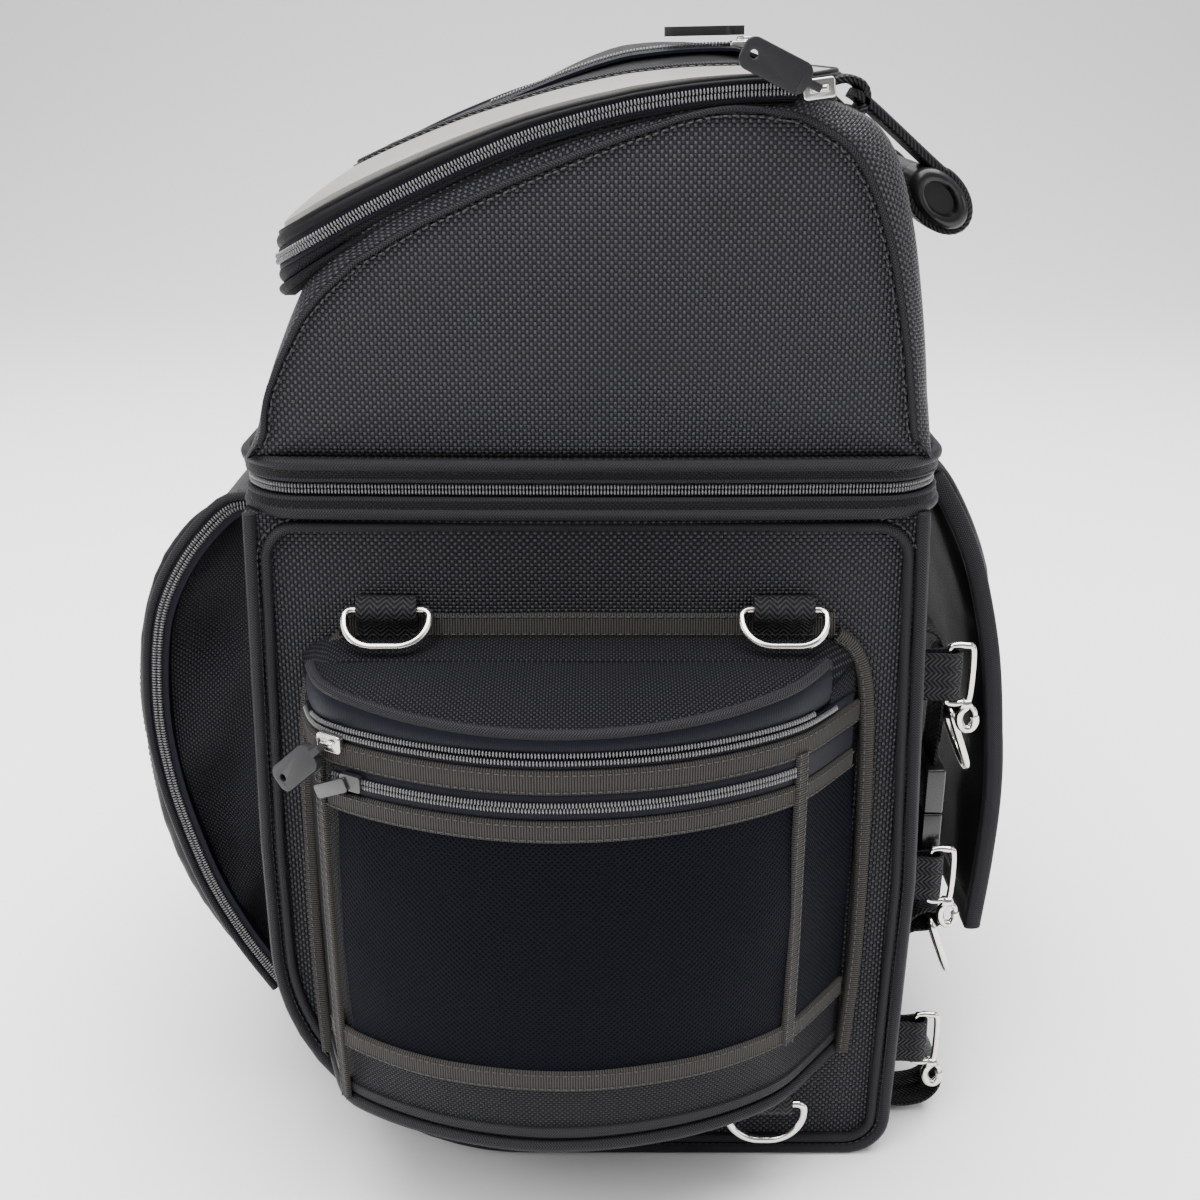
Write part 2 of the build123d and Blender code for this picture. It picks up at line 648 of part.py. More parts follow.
with BuildPart() as upper_rim:
    extrude(belt_ring(1.5, WALL).moved(Location((0, 0, UPPER_BASE - RIM_DEPTH))), amount=RIM_DEPTH)
finish(upper_rim.part, "upper_rim")

with BuildPart() as upper_piping:
    for side in (-1, 1):
        low, high = across(side, HALF_WIDTH, HALF_WIDTH + PIPING)
        extrude(upper_profile(xz_at(high), 4.0), amount=PIPING)
        extrude(upper_profile(xz_at(high), 4.0 + 2 * PIPING), amount=PIPING, mode=Mode.SUBTRACT)
finish(upper_piping.part, "upper_piping")


def lid_plan(front_x, back_x, half, radius):
    """A tall block with the lid's rounded plan, to cut the lid's pieces to shape."""
    with BuildPart(mode=Mode.PRIVATE) as cutter:
        with BuildSketch(Plane.XY.offset(350)):
            with Locations(((front_x + back_x) / 2, 0)):
                RectangleRounded(back_x - front_x, 2 * half, radius)
        extrude(amount=200)
    return cutter.part


def lid_layer(inner, outer, front_x, back_x, half, radius):
    """Layer of the lid between two heights above the zip's line, cut to its rounded plan."""
    with BuildPart(mode=Mode.PRIVATE) as layer:
        extrude(lid_band(xz_at(half + 10), inner, outer, front_x - 10, back_x + 10), amount=2 * half + 20)
        add(lid_plan(front_x, back_x, half, radius), mode=Mode.INTERSECT)
    return layer.part


LID_FRONT_X = LID_FRONT[0] - LID_OVERHANG
with BuildPart() as upper_case_zips:
    extrude(raised(belt_ring(0.5, TAPE_THICK), UPPER_BASE - RIM_DEPTH - TAPE_DEPTH), amount=TAPE_DEPTH)
    tape_band = lid_band(xz_at(HALF_WIDTH), -LID_TAPE, -GAP / 2, LID_FRONT[0] - 4, LID_REAR_X - 6)
    extrude(tape_band, amount=2 * HALF_WIDTH)
    lid_hole = lid_plan(LID_FRONT[0] + 1, LID_REAR_X - 10, HALF_WIDTH - WALL, LID_CORNER_R - WALL)
    add(lid_hole, mode=Mode.SUBTRACT)
finish(upper_case_zips.part, "upper_case_zips")

with BuildPart() as lid_zips:
    add(lid_layer(GAP / 2, LID_TAPE, LID_FRONT[0] - 4, LID_REAR_X, LID_HALF, LID_CORNER_R))
    lid_hole = lid_plan(LID_FRONT[0] + 1, LID_REAR_X - 5, LID_HALF - WALL, LID_CORNER_R - WALL)
    add(lid_hole, mode=Mode.SUBTRACT)
finish(lid_zips.part, "lid_zips")

LID_TOP = LID_TAPE + LID_THICK
with BuildPart() as lid_panel:
    add(lid_layer(LID_TAPE, LID_TOP, LID_FRONT_X, LID_REAR_X, LID_HALF, LID_CORNER_R))
finish(lid_panel.part, "lid_panel")

PAD_FRONT_X = LID_FRONT_X + 12
PAD_BACK_X = LID_REAR_X - 8
PAD_FRONT = (PAD_FRONT_X, on_lid(PAD_FRONT_X, LID_TOP + 5))
PAD_BACK = (PAD_BACK_X, on_lid(PAD_BACK_X, LID_TOP + 3))
PAD_RISE = 20.0
PAD_CENTRE, PAD_R = arc_through(PAD_FRONT, PAD_BACK, PAD_RISE)


def on_pad(x):
    """Height of the pad's top at x."""
    return PAD_CENTRE[1] + math.sqrt(PAD_R**2 - (x - PAD_CENTRE[0]) ** 2)


PAD_SPARE = 2.0
with BuildPart() as lid_pad:
    with BuildSketch(xz_at(PAD_HALF + PAD_SPARE)):
        with BuildLine():
            front = PAD_FRONT_X - PAD_SPARE
            back = PAD_BACK_X + PAD_SPARE
            stations = (front, 0, back)
            low = ThreePointArc(*[(x, on_lid(x, LID_TOP)) for x in stations])
            high = ThreePointArc(*[(x, on_pad(x)) for x in stations])
            Line(low @ 0, high @ 0)
            Line(low @ 1, high @ 1)
        make_face()
    extrude(amount=2 * (PAD_HALF + PAD_SPARE))
    add(lid_plan(PAD_FRONT_X, PAD_BACK_X, PAD_HALF, 20), mode=Mode.INTERSECT)
finish(lid_pad.part, "lid_pad")

BORDER_THICK = 1.2
with BuildPart() as lid_border:
    border_top = LID_TOP + BORDER_THICK
    add(lid_layer(LID_TOP, border_top, LID_FRONT_X + 4, LID_REAR_X - 4, LID_HALF - 4, LID_CORNER_R - 4))
    add(lid_plan(PAD_FRONT_X, PAD_BACK_X, PAD_HALF, 20), mode=Mode.SUBTRACT)
finish(lid_border.part, "lid_border")

# ---- carry handle ---------------------------------------------------------------------------------
HANDLE_PIVOT = (113.0, 479.0)
HANDLE_Y = 62.0
GRIP = (153.0, 438.0)
GRIP_R = 11.0
EYE_R = 3.0
with BuildPart() as handle_anchors:
    for side in (-1, 1):
        low, high = across(side, HANDLE_Y - WEBBING / 2, HANDLE_Y + WEBBING / 2)
        with BuildSketch(xz_at(high)):
            with BuildLine():
                Polyline(
                    (LID_REAR_X + 6, 476.6), (118.6, 465.6), (124, 444), (126, 444.6), (121, 467), (104, 478.6),
                    close=True,
                )
            make_face()
        extrude(amount=WEBBING)
finish(handle_anchors.part, "handle_anchors")

with BuildPart() as handle_straps:
    for side in (-1, 1):
        low, high = across(side, HANDLE_Y - WEBBING / 2, HANDLE_Y + WEBBING / 2)
        with BuildSketch(xz_at(high)):
            with Locations(HANDLE_PIVOT):
                Circle(EYE_R)
            run = math.dist(HANDLE_PIVOT, GRIP)
            tilt = math.degrees(math.atan2(GRIP[1] - HANDLE_PIVOT[1], GRIP[0] - HANDLE_PIVOT[0]))
            middle = ((HANDLE_PIVOT[0] + GRIP[0]) / 2, (HANDLE_PIVOT[1] + GRIP[1]) / 2)
            with Locations(Location(middle, tilt)):
                Rectangle(run, 2 * WEBBING_THICK)
        extrude(amount=WEBBING)
        with BuildSketch(xz_at(high)):
            with Locations(GRIP):
                Circle(GRIP_R)
        extrude(amount=WEBBING, mode=Mode.SUBTRACT)
finish(handle_straps.part, "handle_straps")

GRIP_HALF = HANDLE_Y + WEBBING / 2 + 3
with BuildPart() as handle_grip:
    with BuildSketch(xz_at(GRIP_HALF)):
        with Locations(GRIP):
            Circle(GRIP_R)
    extrude(amount=2 * GRIP_HALF)
    fillet(handle_grip.edges().filter_by(GeomType.CIRCLE), 3)
finish(handle_grip.part, "handle_grip")


# ---- zip sliders and their pulls -------------------------------------------------------------------
def slider(plane, name):
    """A slider on plane: its X along the zip, its Z off the tape."""
    with BuildPart() as body:
        with BuildSketch(plane.offset(GAP)):
            RectangleRounded(12, 7.5, 1.5)
        extrude(amount=3.2)
        with BuildSketch(plane.offset(GAP + 3.2)):
            Rectangle(6, 2)
        extrude(amount=1.6)
    finish(body.part, name)


def pull(plane, name, turn=0.0):
    """A moulded pull that leaves the slider along the plane's -X, turned in the plane by turn."""
    with BuildPart() as tab:
        with BuildSketch(plane.offset(GAP + 5.3)):
            with Locations(Location((0, 0), turn)):
                with Locations((-PULL_LONG / 2 - 5, 0)):
                    RectangleRounded(PULL_LONG, PULL_WIDE, 4)
                with Locations((-PULL_LONG - 0.5, 0)):
                    Circle(1.6, mode=Mode.SUBTRACT)
                with Locations((-4, 0)):
                    Rectangle(8, 3)
        extrude(amount=PULL_THICK)
    finish(tab.part, name)


def belt_plane(x):
    """Where the belt's slider stands, on the far side of the bag."""
    return Plane(origin=(x, HALF_WIDTH + 1.5, BELT_Z), x_dir=(1, 0, 0), z_dir=(0, 1, 0))


def lid_plane(x, y, above):
    """A place on a side of the lid, facing -Y, with its X along the lid's arc."""
    angle = math.asin((x - LID_CENTRE[0]) / (LID_R + above))
    along = (math.cos(angle), 0, -math.sin(angle))
    return Plane(origin=(x, y, on_lid(x, above)), x_dir=along, z_dir=(0, -1, 0))


def pad_plane(x, y):
    """A place on top of the lid's pad, with its X along the pad's arc."""
    angle = math.asin((x - PAD_CENTRE[0]) / PAD_R)
    out = (math.sin(angle), 0, math.cos(angle))
    return Plane(origin=(x, y, on_pad(x)), x_dir=(math.cos(angle), 0, -math.sin(angle)), z_dir=out)


def pocket_plane(side, x, z):
    """A place on a side pocket's bowed front, facing out, with its X to the back of the bag."""
    angle = math.asin((x - POCKET_MID_X) / (POCKET_R + 2))
    out = (math.sin(angle), side * math.cos(angle), 0)
    origin = (
        POCKET_MID_X + (POCKET_R + 2) * out[0],
        -side * POCKET_CENTRE_Y + (POCKET_R + 2) * out[1],
        z,
    )
    return Plane(origin=origin, x_dir=(math.cos(angle), -side * math.sin(angle), 0), z_dir=out)


belt_spot = belt_plane(-96)
slider(belt_spot, "belt_slider")
pull(belt_spot, "belt_pull", -35)

lid_spot = lid_plane(84, -HALF_WIDTH, 0)
slider(lid_spot, "lid_slider")
pull(lid_spot, "lid_pull", -33)

top_spot = pad_plane(62, 18 - PAD_HALF)
slider(top_spot, "top_slider")
pull(top_spot, "top_pull", 0)

for side in (-1, 1):
    spot = pocket_plane(side, POCKET_MID_X - POCKET_HALF + 8, SEAM_Z - 4.5)
    slider(spot, side_name("pocket_slider", side))
    pull(spot, side_name("pocket_pull", side), -side * 42)
    spot = pocket_plane(side, POCKET_MID_X - POCKET_HALF + 16, (MESH_ZIP_LOW + MESH_ZIP_HIGH) / 2)
    with BuildPart() as mesh_slider:
        with BuildSketch(spot.offset(GAP)):
            RectangleRounded(10, 7, 1.2)
        extrude(amount=2.6)
        with BuildSketch(spot.offset(GAP + 2.6)):
            with Locations(Location((-9, side * 4), -side * 25)):
                RectangleRounded(17, 6, 1.5)
        extrude(amount=1.4)
    finish(mesh_slider.part, side_name("mesh_slider", side))

FRONT_SLIDER_Z = 262.0
angle = math.asin((FRONT_SLIDER_Z - DOOR_CENTRE[1]) / DOOR_R)
front_x = door_point(FRONT_SLIDER_Z)[0]
front_spot = Plane(
    origin=(front_x + 3, DOOR_HALF + 1.5, FRONT_SLIDER_Z),
    x_dir=(math.sin(angle), 0, math.cos(angle)),
    z_dir=(0, 1, 0),
)
slider(front_spot, "front_slider")
pull(front_spot, "front_pull", 20)
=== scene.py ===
"""Looks of a two-tier motorcycle tail bag: woven panels, padded lid, pockets, zips, webbing and wire hardware.

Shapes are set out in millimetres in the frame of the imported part: X runs from the front pocket to the
sissy-bar sleeve, Z is up and the near side faces -Y. They become metres when a piece is made.
"""

import json
import logging
import math
from collections.abc import Callable, Sequence
from dataclasses import dataclass
from enum import Enum

import bmesh
import bpy
import numpy as np
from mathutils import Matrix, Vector, noise

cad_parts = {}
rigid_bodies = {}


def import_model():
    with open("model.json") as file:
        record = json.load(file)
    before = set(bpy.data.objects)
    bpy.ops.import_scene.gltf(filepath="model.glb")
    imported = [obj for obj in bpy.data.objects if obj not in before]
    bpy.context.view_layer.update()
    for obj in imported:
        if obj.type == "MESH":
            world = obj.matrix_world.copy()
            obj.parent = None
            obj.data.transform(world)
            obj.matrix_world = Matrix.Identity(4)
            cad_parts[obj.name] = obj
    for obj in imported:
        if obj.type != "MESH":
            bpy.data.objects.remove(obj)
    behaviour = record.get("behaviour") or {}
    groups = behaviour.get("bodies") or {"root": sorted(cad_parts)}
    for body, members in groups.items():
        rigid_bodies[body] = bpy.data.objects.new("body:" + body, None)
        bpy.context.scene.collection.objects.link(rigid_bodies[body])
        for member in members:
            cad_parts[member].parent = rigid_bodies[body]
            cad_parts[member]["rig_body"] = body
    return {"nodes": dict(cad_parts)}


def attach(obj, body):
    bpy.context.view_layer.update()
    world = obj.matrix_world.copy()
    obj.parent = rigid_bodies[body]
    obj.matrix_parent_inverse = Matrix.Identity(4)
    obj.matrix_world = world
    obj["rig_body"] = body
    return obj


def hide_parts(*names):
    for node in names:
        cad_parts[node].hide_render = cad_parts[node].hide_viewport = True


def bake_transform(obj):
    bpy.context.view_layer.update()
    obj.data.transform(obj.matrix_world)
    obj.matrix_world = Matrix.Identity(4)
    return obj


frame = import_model()
LOG = logging.getLogger("tail_bag")
Array = np.ndarray
MM = 0.001
CLOTH_UV = "cloth"
NEAR, FAR = -1, 1


def word(side: int) -> str:
    """Name of a side of the bag."""
    return "near" if side == NEAR else "far"


# ---- finishes ----
class Pattern(Enum):
    """Relief that a finish carries."""

    WOVEN = "woven"
    RIBBED = "ribbed"
    CHEVRON = "chevron"
    NETTED = "netted"
    GRAIN = "grain"


@dataclass(frozen=True)
class Finish:
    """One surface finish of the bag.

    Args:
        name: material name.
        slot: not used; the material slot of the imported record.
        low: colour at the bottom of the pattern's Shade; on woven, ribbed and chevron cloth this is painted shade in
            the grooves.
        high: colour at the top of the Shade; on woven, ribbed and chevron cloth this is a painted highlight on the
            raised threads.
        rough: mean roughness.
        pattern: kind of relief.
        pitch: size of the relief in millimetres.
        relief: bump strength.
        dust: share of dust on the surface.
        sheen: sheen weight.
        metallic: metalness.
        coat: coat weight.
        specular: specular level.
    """

    name: str
    slot: str
    low: tuple[float, float, float]
    high: tuple[float, float, float]
    rough: float
    pattern: Pattern
    pitch: float
    relief: float
    dust: float = 0.1
    sheen: float = 0.0
    metallic: float = 0.0
    coat: float = 0.0
    specular: float = 0.1


BALLISTIC = Finish(
    "ballistic_nylon", "ballistic_nylon", (0.0004, 0.0004, 0.0006), (0.05, 0.051, 0.06),
    0.4, Pattern.WOVEN, 3.1, 1.0, dust=0.012, specular=0.16,
)
POCKET_CLOTH = Finish(
    "pocket_nylon", "ballistic_nylon", (0.001, 0.001, 0.0015), (0.032, 0.033, 0.039),
    0.44, Pattern.WOVEN, 2.3, 1.0, dust=0.02,
)
GUSSET_CLOTH = Finish(
    "gusset_nylon", "smooth_nylon", (0.0015, 0.0015, 0.002), (0.013, 0.013, 0.015),
    0.5, Pattern.WOVEN, 1.9, 0.8, dust=0.015,
)
PADDED_CLOTH = Finish(
    "padded_nylon", "smooth_nylon", (0.003, 0.003, 0.0035), (0.01, 0.01, 0.012),
    0.52, Pattern.WOVEN, 1.1, 0.35, dust=0.03, sheen=0.03,
)
GROSGRAIN = Finish(
    "grosgrain", "grosgrain", (0.004, 0.0035, 0.003), (0.05, 0.046, 0.042),
    0.58, Pattern.RIBBED, 1.1, 0.9, dust=0.08,
)
NET = Finish(
    "mesh_cloth", "mesh", (0.0002, 0.0003, 0.001), (0.006, 0.007, 0.014),
    0.6, Pattern.NETTED, 2.4, 0.7, dust=0.015, specular=0.04,
)
ZIP_TAPE = Finish(
    "zip_tape", "zip_tape", (0.0014, 0.0016, 0.004), (0.0055, 0.006, 0.012),
    0.5, Pattern.RIBBED, 0.8, 0.4, dust=0.03,
)
# The coil is black plastic; its light grey grain speckle is painted glints.
COIL_WITH_PAINTED_GLINTS = Finish(
    "zip_coil_painted_glints", "zip_tape", (0.04, 0.04, 0.042), (0.17, 0.17, 0.175),
    0.2, Pattern.GRAIN, 1.0, 0.1, dust=0.01, specular=0.7,
)
PIPING = Finish(
    "piping_twill", "piping", (0.002, 0.002, 0.0025), (0.026, 0.026, 0.03),
    0.48, Pattern.CHEVRON, 1.2, 0.7, dust=0.04,
)
REFLECTIVE = Finish(
    "reflective_band", "reflective", (0.215, 0.203, 0.186), (0.27, 0.257, 0.238),
    0.42, Pattern.GRAIN, 0.9, 0.08, dust=0.1, specular=0.5,
)
WEBBING = Finish(
    "webbing", "webbing", (0.002, 0.002, 0.0025), (0.026, 0.026, 0.028),
    0.48, Pattern.CHEVRON, 2.2, 0.9, dust=0.05,
)
THREAD = Finish(
    "sewing_thread", "smooth_nylon", (0.01, 0.01, 0.011), (0.04, 0.038, 0.037),
    0.42, Pattern.GRAIN, 0.5, 0.1, dust=0.02, specular=0.4,
)
NICKEL = Finish(
    "nickel_wire", "ring_wire", (0.62, 0.6, 0.56), (0.8, 0.78, 0.75),
    0.2, Pattern.GRAIN, 2.5, 0.06, dust=0.04, metallic=1.0, specular=0.5,
)
SLIDER = Finish(
    "plated_slider", "slider_metal", (0.45, 0.44, 0.42), (0.66, 0.65, 0.62),
    0.27, Pattern.GRAIN, 1.5, 0.12, dust=0.05, metallic=1.0, specular=0.5,
)
BLACK_SLIDER = Finish(
    "black_slider", "slider_black", (0.006, 0.006, 0.007), (0.018, 0.018, 0.02),
    0.32, Pattern.GRAIN, 1.5, 0.12, dust=0.03, coat=0.3, specular=0.5,
)
PULL = Finish(
    "pull_rubber", "pull_rubber", (0.007, 0.007, 0.008), (0.018, 0.0185, 0.02),
    0.46, Pattern.GRAIN, 0.8, 0.25, dust=0.04, specular=0.25,
)
GRIP = Finish(
    "grip_rubber", "grip_rubber", (0.003, 0.003, 0.0035), (0.009, 0.009, 0.01),
    0.36, Pattern.GRAIN, 1.2, 0.12, dust=0.02, coat=0.1, specular=0.3,
)
ACETAL = Finish(
    "buckle_acetal", "buckle_plastic", (0.004, 0.004, 0.0045), (0.01, 0.01, 0.011),
    0.33, Pattern.GRAIN, 0.7, 0.15, dust=0.03, specular=0.5,
)
BOARD = Finish(
    "stiffener_board", "board", (0.02, 0.02, 0.021), (0.035, 0.035, 0.037),
    0.42, Pattern.GRAIN, 1.6, 0.3, dust=0.1, specular=0.5,
)


class Wires:
    """Adds nodes to a tree and joins them."""

    def __init__(self, tree: bpy.types.NodeTree) -> None:
        """Takes the tree to work in."""
        self.tree = tree

    def add(self, kind: str, **settings: object) -> bpy.types.Node:
        """Adds a node and sets its properties."""
        node = self.tree.nodes.new(kind)
        for key, value in settings.items():
            setattr(node, key, value)
        return node

    def feed(self, socket: bpy.types.NodeSocket, value: object) -> None:
        """Links a socket to value, or sets it where value is a plain number."""
        if isinstance(value, bpy.types.NodeSocket):
            self.tree.links.new(value, socket)
        else:
            socket.default_value = value

    def math(self, operation: str, a: object, b: object = 0.0, c: object = 0.0) -> bpy.types.NodeSocket:
        """One Math node.

        Args:
            operation: the node's operation.
            a: first input, a socket or a number.
            b: second input.
            c: third input.

        Returns:
            The node's output.
        """
        node = self.add("ShaderNodeMath", operation=operation)
        for socket, value in zip(node.inputs, (a, b, c)):
            self.feed(socket, value)
        return node.outputs[0]

    def blend(self, share: object, a: object, b: object) -> bpy.types.NodeSocket:
        """Mixes two colours by share."""
        node = self.add("ShaderNodeMix", data_type="RGBA")
        self.feed(node.inputs[0], share)
        for socket, value in ((node.inputs[6], a), (node.inputs[7], b)):
            self.feed(socket, value)
        return node.outputs[2]


class Reliefs:
    """Shader node groups that several finishes share: weaves, ribs, net, grain and dust."""

    def __init__(self) -> None:
        """Builds each group once."""
        self.groups = {
            Pattern.WOVEN: self._woven(),
            Pattern.RIBBED: self._ribbed("relief_ribbed", 0.0),
            Pattern.CHEVRON: self._ribbed("relief_chevron", 3.0),
            Pattern.NETTED: self._netted(),
            Pattern.GRAIN: self._grain(),
        }
        self.dust = self._dust()

    def _start(self, name: str, inputs: Sequence[tuple[str, float]], outputs: Sequence[str]) -> tuple:
        """Makes an empty group with float sockets.

        Args:
            name: the group's name.
            inputs: name and default of each input.
            outputs: name of each output.

        Returns:
            The wires in the group, its input node and its output node.
        """
        tree = bpy.data.node_groups.new(name, "ShaderNodeTree")
        for label, default in inputs:
            tree.interface.new_socket(name=label, in_out="INPUT", socket_type="NodeSocketFloat").default_value = default
        for label in outputs:
            tree.interface.new_socket(name=label, in_out="OUTPUT", socket_type="NodeSocketFloat")
        wires = Wires(tree)
        return wires, wires.add("NodeGroupInput"), wires.add("NodeGroupOutput")

    def _cloth_axes(self, wires: Wires, pitch: bpy.types.NodeSocket) -> tuple:
        """The cloth's two directions, counted in pitches."""
        uv = wires.add("ShaderNodeUVMap", uv_map=CLOTH_UV)
        axes = wires.add("ShaderNodeSeparateXYZ")
        wires.feed(axes.inputs[0], uv.outputs[0])
        return wires.math("DIVIDE", axes.outputs[0], pitch), wires.math("DIVIDE", axes.outputs[1], pitch)

    def _wave(self, wires: Wires, phase: object, turns: float = 1.0) -> bpy.types.NodeSocket:
        """Sine of a phase counted in turns."""
        return wires.math("SINE", wires.math("MULTIPLY", phase, 2 * math.pi * turns))

    def _woven(self) -> bpy.types.NodeTree:
        """Basket weave: floats that cross, each a bundle of four threads; its Shade paints highlights on the floats,
        shade in the grooves, and the floats of one direction lighter as if lit from above.
        """
        wires, taken, given = self._start("relief_woven", [("Pitch", 0.002)], ["Height", "Shade"])
        u, v = self._cloth_axes(wires, taken.outputs[0])
        cross = wires.math("MULTIPLY", self._wave(wires, u), self._wave(wires, v))
        lit = wires.math("GREATER_THAN", cross, 0.0)
        swell = wires.math("POWER", wires.math("ABSOLUTE", cross), 0.55)
        warp = wires.math("MULTIPLY", self._wave(wires, u, 4.0), lit)
        weft = wires.math("MULTIPLY", self._wave(wires, v, 4.0), wires.math("SUBTRACT", 1.0, lit))
        threads = wires.math("MULTIPLY", wires.math("ADD", warp, weft), 0.12)
        wires.feed(given.inputs[0], wires.math("ADD", swell, threads))
        # Painted light: floats facing the light (lit) keep full brightness and the others are painted in shade; swell
        # paints a highlight on each float and shade in the grooves.
        side = wires.math("MULTIPLY_ADD", lit, 0.84, 0.16)
        wires.feed(given.inputs[1], wires.math("MULTIPLY", swell, side))
        return wires.tree

    def _ribbed(self, name: str, slant: float) -> bpy.types.NodeTree:
        """Ribs across a tape, bent into a herringbone by slant; its Shade follows the height, painting highlights on
        the ribs and shade between them.
        """
        wires, taken, given = self._start(name, [("Pitch", 0.001)], ["Height", "Shade"])
        u, v = self._cloth_axes(wires, taken.outputs[0])
        lane = wires.math("FRACT", wires.math("MULTIPLY", v, 0.32))
        bend = wires.math("MULTIPLY", wires.math("ABSOLUTE", wires.math("SUBTRACT", lane, 0.5)), slant)
        wave = self._wave(wires, wires.math("ADD", u, bend))
        height = wires.math("MULTIPLY_ADD", wave, 0.5, 0.5)
        fine = wires.math("MULTIPLY", self._wave(wires, v, 1.6), 0.15)
        wires.feed(given.inputs[0], wires.math("ADD", height, fine))
        # Painted light: Shade equals the rib height, so the ribs get a painted highlight and the hollows painted shade.
        wires.feed(given.inputs[1], height)
        return wires.tree

    def _netted(self) -> bpy.types.NodeTree:
        """Fine knitted net of crossing diagonals."""
        wires, taken, given = self._start("relief_netted", [("Pitch", 0.002)], ["Height", "Shade"])
        u, v = self._cloth_axes(wires, taken.outputs[0])
        rising = wires.math("ABSOLUTE", self._wave(wires, wires.math("ADD", u, v), 0.5))
        falling = wires.math("ABSOLUTE", self._wave(wires, wires.math("SUBTRACT", u, v), 0.5))
        strand = wires.math("SUBTRACT", 1.0, wires.math("MINIMUM", rising, falling))
        wires.feed(given.inputs[0], strand)
        wires.feed(given.inputs[1], wires.math("POWER", strand, 3.0))
        return wires.tree

    def _grain(self) -> bpy.types.NodeTree:
        """Small uneven grain of a moulded, plated or drawn surface."""
        wires, taken, given = self._start("relief_grain", [("Pitch", 0.001)], ["Height", "Shade"])
        place = wires.add("ShaderNodeTexCoord")
        speckle = wires.add("ShaderNodeTexNoise")
        wires.feed(speckle.inputs["Vector"], place.outputs["Object"])
        wires.feed(speckle.inputs["Scale"], wires.math("DIVIDE", 1.0, taken.outputs[0]))
        wires.feed(speckle.inputs["Detail"], 4.0)
        wires.feed(given.inputs[0], speckle.outputs[0])
        wires.feed(given.inputs[1], speckle.outputs[0])
        return wires.tree

    def _dust(self) -> bpy.types.NodeTree:
        """Soft patches and fine lint that lie on the cloth."""
        wires, taken, given = self._start("dust_and_lint", [("Amount", 0.1)], ["Mask", "Patch"])
        place = wires.add("ShaderNodeTexCoord")
        scales = (14.0, 900.0)
        fields = []
        for scale in scales:
            field = wires.add("ShaderNodeTexNoise")
            wires.feed(field.inputs["Vector"], place.outputs["Object"])
            wires.feed(field.inputs["Scale"], scale)
            wires.feed(field.inputs["Detail"], 3.0)
            fields.append(field.outputs[0])
        specks = wires.math("MAXIMUM", wires.math("SUBTRACT", fields[1], 0.66), 0.0)
        lint = wires.math("MULTIPLY", specks, 4.0)
        patches = wires.math("MULTIPLY", fields[0], 0.5)
        cover = wires.math("MULTIPLY", wires.math("ADD", patches, lint), taken.outputs[0])
        wires.feed(given.inputs[0], wires.math("MINIMUM", cover, 1.0))
        wires.feed(given.inputs[1], fields[0])
        return wires.tree


class Wardrobe:
    """Makes the materials, one for each finish, when they are first asked for."""

    dust_colour = (0.17, 0.165, 0.16, 1.0)

    def __init__(self) -> None:
        """Starts with no material made."""
        self.reliefs = Reliefs()
        self.made: dict[str, bpy.types.Material] = {}

    def material(self, finish: Finish) -> bpy.types.Material:
        """The material of a finish.

        Args:
            finish: what to make.

        Returns:
            The material, shared by all pieces of that finish.
        """
        if finish.name in self.made:
            return self.made[finish.name]
        made = bpy.data.materials.new(finish.name)
        made.use_nodes = True
        wires = Wires(made.node_tree)
        shader = made.node_tree.nodes["Principled BSDF"]
        relief = wires.add("ShaderNodeGroup", node_tree=self.reliefs.groups[finish.pattern])
        wires.feed(relief.inputs["Pitch"], finish.pitch * MM)
        dust = wires.add("ShaderNodeGroup", node_tree=self.reliefs.dust)
        wires.feed(dust.inputs["Amount"], finish.dust)
        # Base colour from low to high by the pattern's Shade: painted highlights and painted shade on woven, ribbed and
        # chevron cloth, painted glints on the coil, random tone on the other grain finishes; real dust goes over it.
        tone_and_painted_light = wires.blend(relief.outputs["Shade"], (*finish.low, 1.0), (*finish.high, 1.0))
        wires.feed(shader.inputs["Base Color"], wires.blend(dust.outputs["Mask"], tone_and_painted_light, self.dust_colour))
        matt = wires.math("MULTIPLY_ADD", dust.outputs["Patch"], 0.3, finish.rough - 0.15)
        worn = wires.math("MULTIPLY_ADD", relief.outputs["Shade"], -0.08, matt)
        wires.feed(shader.inputs["Roughness"], worn)
        bump = wires.add("ShaderNodeBump")
        wires.feed(bump.inputs["Strength"], finish.relief)
        wires.feed(bump.inputs["Distance"], finish.pitch * MM * 0.22)
        wires.feed(bump.inputs["Height"], relief.outputs["Height"])
        wires.feed(shader.inputs["Normal"], bump.outputs[0])
        shader.inputs["Metallic"].default_value = finish.metallic
        shader.inputs["Sheen Weight"].default_value = finish.sheen
        shader.inputs["Sheen Roughness"].default_value = 0.4
        shader.inputs["Coat Weight"].default_value = finish.coat
        shader.inputs["Coat Roughness"].default_value = 0.15
        shader.inputs["Specular IOR Level"].default_value = finish.specular
        self.made[finish.name] = made
        return made


WARDROBE = Wardrobe()


# ---- lines ----
def resample(path: Array, step: float, closed: bool = False) -> Array:
    """Spaces points evenly along a line.

    Args:
        path: points of the line, one row each.
        step: distance between points.
        closed: whether the line joins up.

    Returns:
        The new points, without a repeat of the first one.
    """
    line = np.vstack([path, path[:1]]) if closed else np.asarray(path, float)
    run = np.concatenate([[0.0], np.cumsum(np.linalg.norm(np.diff(line, axis=0), axis=1))])
    count = max(2, round(run[-1] / step))
    stations = np.linspace(0.0, run[-1], count + 1)
    spaced = np.stack([np.interp(stations, run, column) for column in line.T], axis=1)
    return spaced[:-1] if closed else spaced


